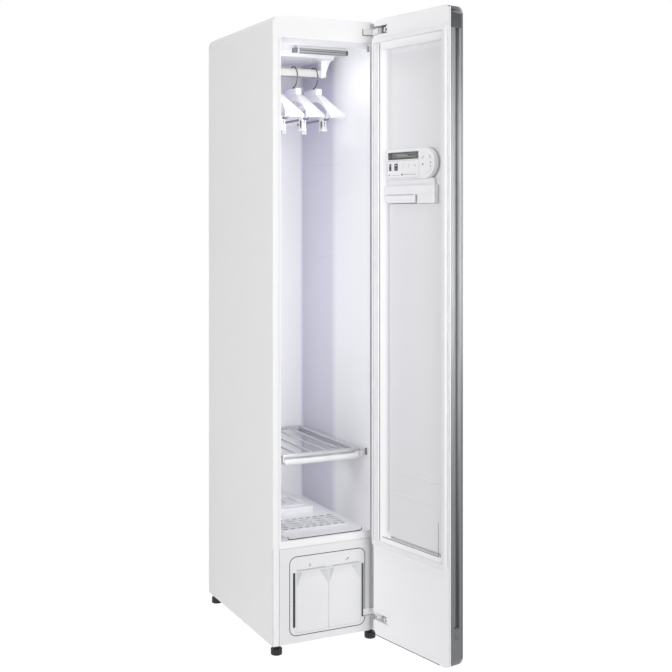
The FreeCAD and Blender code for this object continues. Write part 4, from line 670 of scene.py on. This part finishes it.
# A grey block on the right wall at the shelf's front corner is painted shade at the shelf's wall boss.
keep_slabs("shelf_boss_shade", slot_shade_grey, "cabinet", None, ((291.5, 3, 549), (298.5, 9, 571), 2.5))
# A grey strip lies along each side of the deck, between its upper and lower rails.
side_strip_grey = finish_of("side_strip_grey", "a4a4ab", "9a9aa1", 0.40, 0.50, patch=30, grain=1000, bump=0.05)
strip_half = 4.6
shape = bmesh.new()
for strip_x in (rack_left + 10, rack_right - 10):
    slab(shape, (strip_x - strip_half, lower_front + 4, 556.4),
         (strip_x + strip_half, lower_back - 4, 558.0), 0.5)
keep("shelf_side_strips", shape, side_strip_grey, "shelf")

# Lower front: a white fascia with a rounded bezel set in a dark seal, which also stands in for the shadow
# in the gap round the bezel, and two water tanks that slide into a sleeve behind it. A strip closes the
# right side.
fascia_plastic = finish_of("fascia_plastic", "f0f0f1", "ececee", 0.28, 0.34, patch=5, grain=700, bump=0.04)
dress("lower_panel bay_bezel", fascia_plastic)
grille_plastic = finish_of("grille_plastic", "f0f0f1", "e9e9ea", 0.40, 0.50, patch=30)
dress("side_grille", grille_plastic)
slot_dark_and_shade = finish_of("slot_dark_and_shade", "35373a", "2e3033", 0.45, 0.58, patch=30)
dress("tank_bay", slot_dark_and_shade)
bezel_low, bezel_high = box_of("bay_bezel")
# The dark ring is a seal, and also painted shadow in the gap round the bezel.
seal_out, seal_corner, seal_width = 1.5, 22.6, 2.1
shape = bmesh.new()
ring(shape, bezel_low.x - seal_out, bezel_high.x + seal_out, bezel_low.z - seal_out,
     bezel_high.z + seal_out, seal_corner, seal_width, -0.9, 0.25, 8)
keep("bezel_seal", shape, seal_and_gap_shade_black, "cabinet", front_board)
# Dark pills in the two slots are painted shade in the slots; the drain slot's pill is a lighter copy,
# painted light.
slot_painted_lighter = finish_of("slot_painted_lighter", "67696c", "5d5f62", 0.45, 0.58, patch=30)
pill_half, pill_low, pill_high = 3.95, 71.1, 231.9
for label, a, lining in (("fill", 49.5, slot_dark_and_shade), ("drain", 273.5, slot_painted_lighter)):
    shape = bmesh.new()
    slab(shape, (a - pill_half, pill_low, -3.2), (a + pill_half, pill_high, -1.4), 3.9, 5, along=2)
    keep(label + "_slot_shade", shape, lining, "cabinet", front_board)
gap_shade_grey = finish_of("gap_shade_grey", "b2b3b6", "a8a9ac", 0.50, 0.62, grain=1400, bump=0.06)
post_right, post_low, post_high = 1.4, 27.5, 304.6
keep_slabs("frame_post", frame_coat_painted_lighter, "cabinet", front_board,
           ((left_side, post_low, -0.3), (post_right, post_high, 0.12)))
# Grey lines in the seams beside the jamb post and along the opening's left edge are painted shade in the
# seams.
keep_slabs("frame_seam_shade", gap_shade_grey, "cabinet", front_board,
           ((post_right, post_low + 1.5, -0.3), (post_right + 1.5, post_high - 0.6, 0.15)),
           ((left_side, post_low + 1.5, -0.3), (left_side + 0.6, post_high - 0.6, 0.16)),
           ((1.0, 306, -0.3), (1.8, 1786, 0.15)))
brow_low, brow_high = 238.6, 244.0
shape = bmesh.new()
for a0, a1 in ((59, 152), (170, 262)):
    slab(shape, (a0, brow_low, -0.6), (a1, brow_high, 1.5), 0.9, 3)
keep("tank_brows", shape, fascia_plastic, "cabinet", front_board)
# A grey line under each brow is painted shade under its edge.
shape = bmesh.new()
for a0, a1 in ((60, 150), (172, 260)):
    slab(shape, (a0, brow_low - 2, -0.6), (a1, brow_low - 0.6, 0.15))
keep("tank_brow_shade", shape, gap_shade_grey, "cabinet", front_board)


def mark(shape, a, b, wide, high, c0, c1, corner=0.0, turn=0):
    """Flat mark with its middle at a, b and its face at c1, turned by turn degrees."""
    before = set(shape.verts)
    slab(shape, (a - wide / 2, b - high / 2, c0), (a + wide / 2, b + high / 2, c1), corner, 6, along=2)
    bmesh.ops.rotate(shape, verts=[vert for vert in shape.verts if vert not in before], cent=(a, b, 0),
                     matrix=Matrix.Rotation(math.radians(turn), 3, "Z"))


mark_ink = finish_of("mark_ink", "6c6e71", "626467", 0.45, 0.55, patch=90, bump=0.02)
print_back, print_face = -0.5, 0.15
shape = bmesh.new()
mark(shape, 99.93, 251.21, 3.4, 3.4, print_back, print_face, corner=1.6, turn=45)
mark(shape, 100.1, 246.7, 7.4, 1.4, print_back, print_face)
mark(shape, 223.8, 252.3, 9.6, 2.2, print_back, print_face, corner=1.0, turn=38)
mark(shape, 218.2, 248.1, 2.4, 2.2, print_back, print_face)
keep("tank_marks", shape, mark_ink, "cabinet", front_board)
tank_plastic = finish_of("tank_plastic", "f1f1f3", "eaeaed", 0.18, 0.27, patch=8, grain=800, bump=0.04)
dress("fill_tank drain_tank", tank_plastic)
# The side faces of each grip scoop are those that look aside and forward above the scoop's floor. They get
# a greyer copy of the tank plastic: painted shade in the scoops.
scoop_painted_shade = finish_of("scoop_painted_shade", "dbdddf", "d4d6d9", 0.18, 0.27, patch=8, grain=800, bump=0.04)
scoop_aside, scoop_forward, scoop_floor = 0.4, -0.5, 0.17
for name in ("fill_tank", "drain_tank"):
    nodes[name].data.materials.append(scoop_painted_shade)
    for face in nodes[name].data.polygons:
        looks_aside = abs(face.normal.x) > scoop_aside and face.normal.y < scoop_forward
        if looks_aside and face.center.z > scoop_floor:
            face.material_index = 1
cap_plastic = finish_of("cap_plastic", "9fb4c4", "90a6b6", 0.35, 0.48, patch=40)
dress("fill_tank_cap drain_tank_cap", cap_plastic)

# Machine compartment: compressor, heat exchanger, blower, steam generator,
# pumps, pipes and the board, all screwed to the base pan.
black_coat = finish_of("black_coat", "17181a", "232527", 0.30, 0.50, patch=30, grain=700, bump=0.12)
dress("compressor", black_coat)
fin_metal = finish_of("fin_metal", "bcc0c3", "a6aaad", 0.30, 0.45, patch=90, grain=900, bump=0.25,
                      stretch=(12, 1, 1), Metallic=0.95)
dress("heat_exchanger", fin_metal)
dress("blower_housing", grey_plastic)
dark_plastic = finish_of("dark_plastic", "3a3c3f", "313336", 0.42, 0.55, patch=40)
dress("blower_wheel water_pumps power_inlet", dark_plastic)
stainless = finish_of("stainless", "b9bbbd", "a5a7aa", 0.28, 0.36, patch=18, grain=500, stretch=(1, 1, 9),
                      Metallic=1.0)
dress("steam_generator", stainless)
hose_rubber = finish_of("hose_rubber", "202224", "2b2d30", 0.62, 0.75, grain=1500, bump=0.12)
dress("machine_pipes", hose_rubber)
board_resin = finish_of("board_resin", "1f5a38", "27694a", 0.36, 0.50, patch=260, grain=1600, bump=0.10)
dress("control_board", board_resin)

# Door: a metal edge with a grip groove and a dark top cap, a tinted glass
# front, foam, and a white formed liner with a dish of pale grey sheet.
brushed = {"patch": 10, "grain": 420, "stretch": (16, 16, 1)}
edge_metal = finish_of("edge_metal", "767778", "6c6d6e", 0.34, 0.42, Metallic=1.0, **brushed)
top_joint, foot_joint = 1785.4, 133.8
fading_tone(edge_metal, "464749", ("Z", top_joint - 0.4, top_joint + 1.6))
dress("door_edge_frame", edge_metal)


def second_finish(name, material, inside):
    """Gives the faces of a CAD node whose middle is inside, in board mm, one more finish."""
    node = nodes[name]
    slot = len(node.data.materials)
    node.data.materials.append(material)
    to_board = door_board.inverted()
    for face in node.data.polygons:
        a, b, c = to_board @ (face.center / mm)
        if inside(a, b, c):
            face.material_index = slot


door_width = right_side - left_side
groove_at, groove_back, groove_front = door_width - 8, -34.1, -15.9
liner_left, liner_right, liner_foot, liner_top, dish_level = 35.9, 310, 326, 1765, -20
cap_metal = finish_of("cap_metal", "707173", "646567", 0.30, 0.40, patch=10, grain=420, Metallic=1.0)
# Painted reflection: the groove fades from dark metal at top and bottom to pale grey at mid height,
# standing in for the lamps' reflection in it. A thin line down the groove's floor keeps a darker metal
# tone.
groove_metal_painted_sheen = finish_of("groove_metal_painted_sheen", "808183", "76777a", 0.40, 0.50, Metallic=0.2, **brushed)
fading_tone(groove_metal_painted_sheen, "e6e7e9", ("Z", 200, 900), ("Z", 1850, 1450))
second_finish("door_edge_frame", groove_metal_painted_sheen, lambda a, b, c: (
    groove_at - 0.5 < a < door_width - 0.1 and groove_back < c < groove_front))
groove_floor = finish_of("groove_floor", "78797b", "707173", 0.40, 0.50, Metallic=1.0, **brushed)
second_finish("door_edge_frame", groove_floor, lambda a, b, c: (
    abs(a - groove_at) < 0.4 and groove_back < c < groove_front))
front_glass = finish_of("front_glass", "b4b9bd", "adb2b6", 0.12, 0.18, patch=4, grain=60, bump=0.01,
                        Metallic=0.1, Coat_Weight=0.5, Coat_Roughness=0.05)
dress("door_front_panel", front_glass)
glass_edge = finish_of("glass_edge", "66686b", "5e6063", 0.20, 0.27, patch=10, grain=500, bump=0.03)
second_finish("door_front_panel", glass_edge, lambda a, b, c: a > door_width - 0.5)
door_look = ("f3f3f4", "efeff1", 0.28, 0.36, 4, 600, 0.05)
door_plastic = finish_of("door_plastic", *door_look)
dress("door_liner", door_plastic)
dish_plastic = finish_of("dish_plastic", "e2e2e4", "dedee1", 0.28, 0.38, patch=3, grain=500, bump=0.06)
second_finish("door_liner", dish_plastic, lambda a, b, c: c < dish_level and 40 < a < liner_right)
# Painted shade: the flank turns a greyer tone on its half towards the dish, where it bends down into it.
flank_plastic_painted_shade = finish_of("flank_plastic_painted_shade", *door_look)
fading_tone(flank_plastic_painted_shade, "d6d6d9", ("Y", -92, -99), ("Z", 330, 350))
second_finish("door_liner", flank_plastic_painted_shade, lambda a, b, c: (
    liner_left < a < 61 and dish_level < c < -0.05 and liner_foot < b < liner_top))
shape = bmesh.new()
for joint_z in (top_joint, foot_joint):
    slab(shape, (door_width, joint_z, -41), (door_width + 0.25, joint_z + 0.8, -2))
slab(shape, (door_width - 0.1, 106, -33), (door_width + 0.3, 131, -17), 0.1)
keep("edge_joints", shape, pad_rubber_and_shadow, "door", door_board)
keep_slabs("edge_plug", cap_metal, "door", door_board,
           ((door_width, 108, -31.5), (door_width + 0.5, 129, -18.5), 0.2))
return_low, return_high = 36, 1842
keep_slabs("edge_return", door_plastic, "door", door_board,
           ((door_width - 6, return_low, -2.6), (door_width + 0.03, return_high, 0.12)))
# A grey line along the edge strip is painted shade standing in for a shallow valley.
keep_slabs("edge_return_line", gap_shade_grey, "door", door_board,
           ((door_width - 3.5, return_low + 2, -0.3), (door_width - 2.5, return_high - 2, 0.2)))

# Door seal: a soft magnetic gasket in two folds round the liner, and the fine
# shadow gap between the liner and the dish sheet that is clipped into it.
seal_rubber = finish_of("seal_rubber", "efeff1", "e4e4e7", 0.46, 0.58, patch=20, grain=1400, bump=0.10)
dress("door_gasket", seal_rubber)
gap_shadow = finish_of("gap_shadow", "77787a", "6c6d6f", 0.60, 0.72, grain=1500, bump=0.10)
gap_back, gap_face = -0.3, 0.2
shape = bmesh.new()
for a0, a1, b0, b1 in ((27.8, 30.9, 300, 1787), (40.0, 292.0, 324.6, 326.4), (290.8, 292.0, 326, 420),
                       (28.0, 309, 1786.6, 1788.8), (8, 296, 26.8, 29.4)):
    slab(shape, (a0, b0, gap_back), (a1, b1, gap_face))
keep("dish_gap", shape, gap_shadow, "door", door_board)
# Strips on the gasket's lips are a brighter white than the gasket: painted highlights.
seal_white_painted_highlight = finish_of("seal_white_painted_highlight", "fcfcfd", "f8f8fa", 0.36, 0.48, patch=20, grain=1400, bump=0.10)
seal_low, seal_high = 312, 1780
keep_slabs("seal_lips", seal_white_painted_highlight, "door", door_board,
           ((331.6, seal_low, 11.0), (334.1, seal_high, 11.9), 0.4, 2),
           ((21.4, seal_low - 10, -0.3), (26.0, seal_high + 5, 0.6), 0.4, 2))
# Grey strips in the valleys of the gasket's folds are painted shade.
shape = bmesh.new()
for a0, a1 in ((13.6, 15.4), (319.4, 320.4)):
    slab(shape, (a0, seal_low, 11.3), (a1, seal_high, 11.85))
keep("seal_fold_shade", shape, gap_shade_grey, "door", door_board)

# Controls on the door liner: a panel with one round end, a dark display, two
# keys, a round pad with four marks, and fine printed strokes.
panel_plastic = finish_of("panel_plastic", "ebebed", "e6e6e8", 0.30, 0.40, patch=20, grain=900, bump=0.06)
panel_z, straight_a, round_a, round_radius, rim_round = 1418.5, 60.5, 229, 44.5, 6.0
shape = bmesh.new()
shape.from_mesh(nodes["control_panel"].data)
bmesh.ops.transform(shape, matrix=door_board.inverted() @ Matrix.Scale(1 / mm, 4), verts=shape.verts)
bmesh.ops.remove_doubles(shape, verts=shape.verts, dist=0.01)
bmesh.ops.dissolve_limit(shape, angle_limit=math.radians(1), verts=shape.verts, edges=shape.edges)


def on_round_rim(vert):
    """True on the outer front rim of the panel, past its straight left end."""
    a, b, c = vert.co
    reach = math.hypot(max(a - round_a, 0), b - panel_z)
    return abs(c) < 0.02 and abs(reach - round_radius) < 0.1 and a > straight_a


rim = [edge for edge in shape.edges if all(on_round_rim(vert) for vert in edge.verts)]
bmesh.ops.bevel(shape, geom=rim, offset=rim_round, offset_type="OFFSET", segments=6, profile=0.5,
                affect="EDGES", material=-1, clamp_overlap=True)
keep("control_shell", shape, panel_plastic, "door", door_board, stands_for=("control_panel",))
keep_slabs("control_apron", panel_plastic, "door", door_board, ((52, 1352, -22), (258, 1377, -12), 3))
# A grey band round the foot of the panel's round end is painted shade where the panel meets the dish.
foot_c, foot_rise, foot_thick = -21.9, 6.4, 0.5
shape = bmesh.new()
foot = bmesh.ops.create_circle(shape, segments=72, radius=round_radius + 0.3,
                               matrix=Matrix.Translation((round_a, panel_z, foot_c)))["verts"]
foot_edges = list({edge for vert in foot for edge in vert.link_edges})
wall = bmesh.ops.extrude_edge_only(shape, edges=foot_edges)["geom"]
bmesh.ops.translate(shape, vec=(0, 0, foot_rise),
                    verts=[part for part in wall if isinstance(part, bmesh.types.BMVert)])
cut_at(shape, (round_a + 4, panel_z, 0), (-1, 0, 0), close=False)
bmesh.ops.solidify(shape, geom=shape.faces[:], thickness=foot_thick)
keep("panel_foot_shade", shape, gap_shade_grey, "door", door_board)

display_glass = finish_of("display_glass", "3c3e40", "444648", 0.12, 0.20, patch=40, grain=100, bump=0.01,
                          Coat_Weight=0.6, Coat_Roughness=0.06)
dress("display_window", display_glass)
screen_glow = finish_of("screen_glow", "696b66", "60625e", 0.20, 0.27, grain=200, bump=0.01)
screen_text = finish_of("screen_text", "96978c", "8a8b80", 0.20, 0.27, grain=200, bump=0.01)
for name, material, height, areas in (
        ("screen_field", screen_glow, 0.02, ((88, 193, 1436.5, 1449.5), (74, 79, 1437, 1444))),
        ("screen_bars", screen_text, 0.10, ((108, 158, 1441.0, 1445.0), (96, 146, 1446.2, 1447.4),
                                            (112, 184, 1438.0, 1439.2))),
        ("screen_shadow", display_glass, 0.12, ((160, 191, 1442.2, 1445.4), (150, 176, 1436.6, 1437.6)))):
    shape = bmesh.new()
    for a0, a1, b0, b1 in areas:
        slab(shape, (a0, b0, print_back), (a1, b1, height))
    keep(name, shape, material, "door", door_board)

key_plastic = finish_of("key_plastic", "1f2022", "292a2c", 0.30, 0.42, grain=1400, bump=0.06)
dress("power_key start_key", key_plastic)
mark_white = finish_of("mark_white", "eeeeef", "e6e6e8", 0.40, 0.50, patch=90, bump=0.02)
key_face, key_print = 1.0, 1.3
for key, middle, half in (("power_key", 79.0, 1.6), ("start_key", 106.0, 2.6)):
    shape = bmesh.new()
    mark(shape, middle, 1414.9, half * 2, 2.8, key_face, key_print)
    mark(shape, middle, 1405.0, half, 2.0, key_face, key_print)
    keep(key + "_mark", shape, mark_white, key + "_cap", door_board)
surround_low, surround_high = 1398.5, 1421.5
keep_slabs("key_surround", mark_white, "door", door_board,
           ((86.5, surround_low, print_back), (96.0, surround_high, 0.25), 0.2),
           ((71.0, surround_low, print_back), (73.2, surround_high, 0.25), 0.1))

ink = finish_of("panel_ink", "808285", "76787b", 0.45, 0.55, patch=90, bump=0.02)
dark_ink = finish_of("panel_dark_ink", "55575a", "4c4e51", 0.45, 0.55, patch=90, bump=0.02)
stroke_face = 0.12
shape = bmesh.new()
for a, b, wide, high in (
        (138, 1416, 3.0, 2.2), (138, 1408.5, 3.0, 1.6), (164, 1416, 3.4, 1.8), (162.5, 1409.5, 4.2, 1.6),
        (189, 1415.5, 3.6, 2.4), (192, 1411.5, 4.0, 2.2), (76, 1425.5, 12, 0.6), (110, 1425.5, 18, 0.5),
        (166, 1388, 60, 1.2), (105, 1386.5, 34, 0.6)):
    mark(shape, a, b, wide, high, print_back, stroke_face)
ring(shape, 65.5, 209, 1378.5, 1428.8, 6.0, 0.7, -0.4, 0.10)
keep("panel_strokes", shape, ink, "door", door_board)
dot_corner = 2.1
shape = bmesh.new()
mark(shape, 75.0, 1387.4, 4.8, 4.4, print_back, print_face, corner=dot_corner)
mark(shape, 132.4, 1388.0, 6.0, 5.6, print_back, print_face, corner=dot_corner)
keep("panel_dots", shape, dark_ink, "door", door_board)
pad_face, pad_print = 0.6, 1.32
shape = bmesh.new()
for a, b, wide, high, turn in (
        (228, 1435.5, 1.8, 7, -35), (224, 1432, 1.4, 4, 40), (257, 1434, 1.8, 9, 25),
        (226, 1414.5, 5.0, 5.4, 0), (260, 1418, 5.4, 3.2, 0), (259, 1409, 1.8, 5, 10)):
    mark(shape, a, b, wide, high, pad_face, pad_print, turn=turn)
keep("pad_marks", shape, dark_ink, "select_pad_cap", door_board)
dress("select_pad", panel_plastic)

# Trouser clamp: a deep moulded ledge with soft ends, and under it a lever that ends in a raised lip with a
# painted highlight, beside a finger hole with painted shadow in it.
clamp_plastic = finish_of("clamp_plastic", "ececee", "e7e7e9", 0.28, 0.36, patch=8, grain=800, bump=0.05)
clamp_left, clamp_right, clamp_step, clamp_back, clamp_face, clamp_round = 45, 269, 197, -22, -2.6, 4.5
ledge_low, ledge_high, clamp_low = 1330, 1356, 1305
shape = bmesh.new()
slab(shape, (clamp_left, ledge_low, clamp_back), (clamp_right, ledge_high, clamp_face), clamp_round, 6,
     along=1)
slab(shape, (clamp_step, clamp_low, clamp_back), (clamp_right, ledge_low + 1, clamp_face), clamp_round, 6,
     along=1, ends=(0, 1))
keep("clamp_shell", shape, clamp_plastic, "door", door_board, stands_for=("clamp_block",))
# A dark slab in the finger hole is painted shadow.
keep_slabs("clamp_well_shadow", pad_rubber_and_shadow, "door", door_board,
           ((clamp_step - 8.5, clamp_low + 1, clamp_back + 0.5), (clamp_step, ledge_low + 0.5, -17)))
# A grey line under the ledge is painted shadow of its overhang.
keep_slabs("clamp_line", gap_shade_grey, "door", door_board,
           ((60, ledge_low, -6), (178, ledge_low + 1, clamp_face + 0.25)))
dress("clamp_lever", clamp_plastic)
# The lip is in the brighter seal white: a painted highlight on the lever's end.
keep_slabs("clamp_lever_lip", seal_white_painted_highlight, "lever", door_board,
           ((179.5, 1306.8, -8.4), (187.5, 1326.0, -2.4), 1.2, 3))

# Press plate: a wide sheet with soft folds near its foot, hung on upright pins,
# that presses the trousers against the dish.
plate_coat = finish_of("plate_coat", "e2e2e4", "dedee1", 0.30, 0.40, patch=3, grain=500, bump=0.06)
press_left, press_right, press_low, press_high = 60.5, 299.5, 332.5, 1304
press_back, press_face, fold_half, fold_inset = -21, -11.4, 2.2, 1.5
shape = bmesh.new()
slab(shape, (press_left, press_low, press_back), (press_right, press_high, press_face), 2.5, 4, along=1)
for b in (461, 524):
    slab(shape, (press_left + fold_inset, b - fold_half, press_face - 1.6),
         (press_right - fold_inset, b + fold_half, press_face + 0.5), 1.0, 3)
keep("press_sheet", shape, plate_coat, "press", door_board, stands_for=("press_plate",))
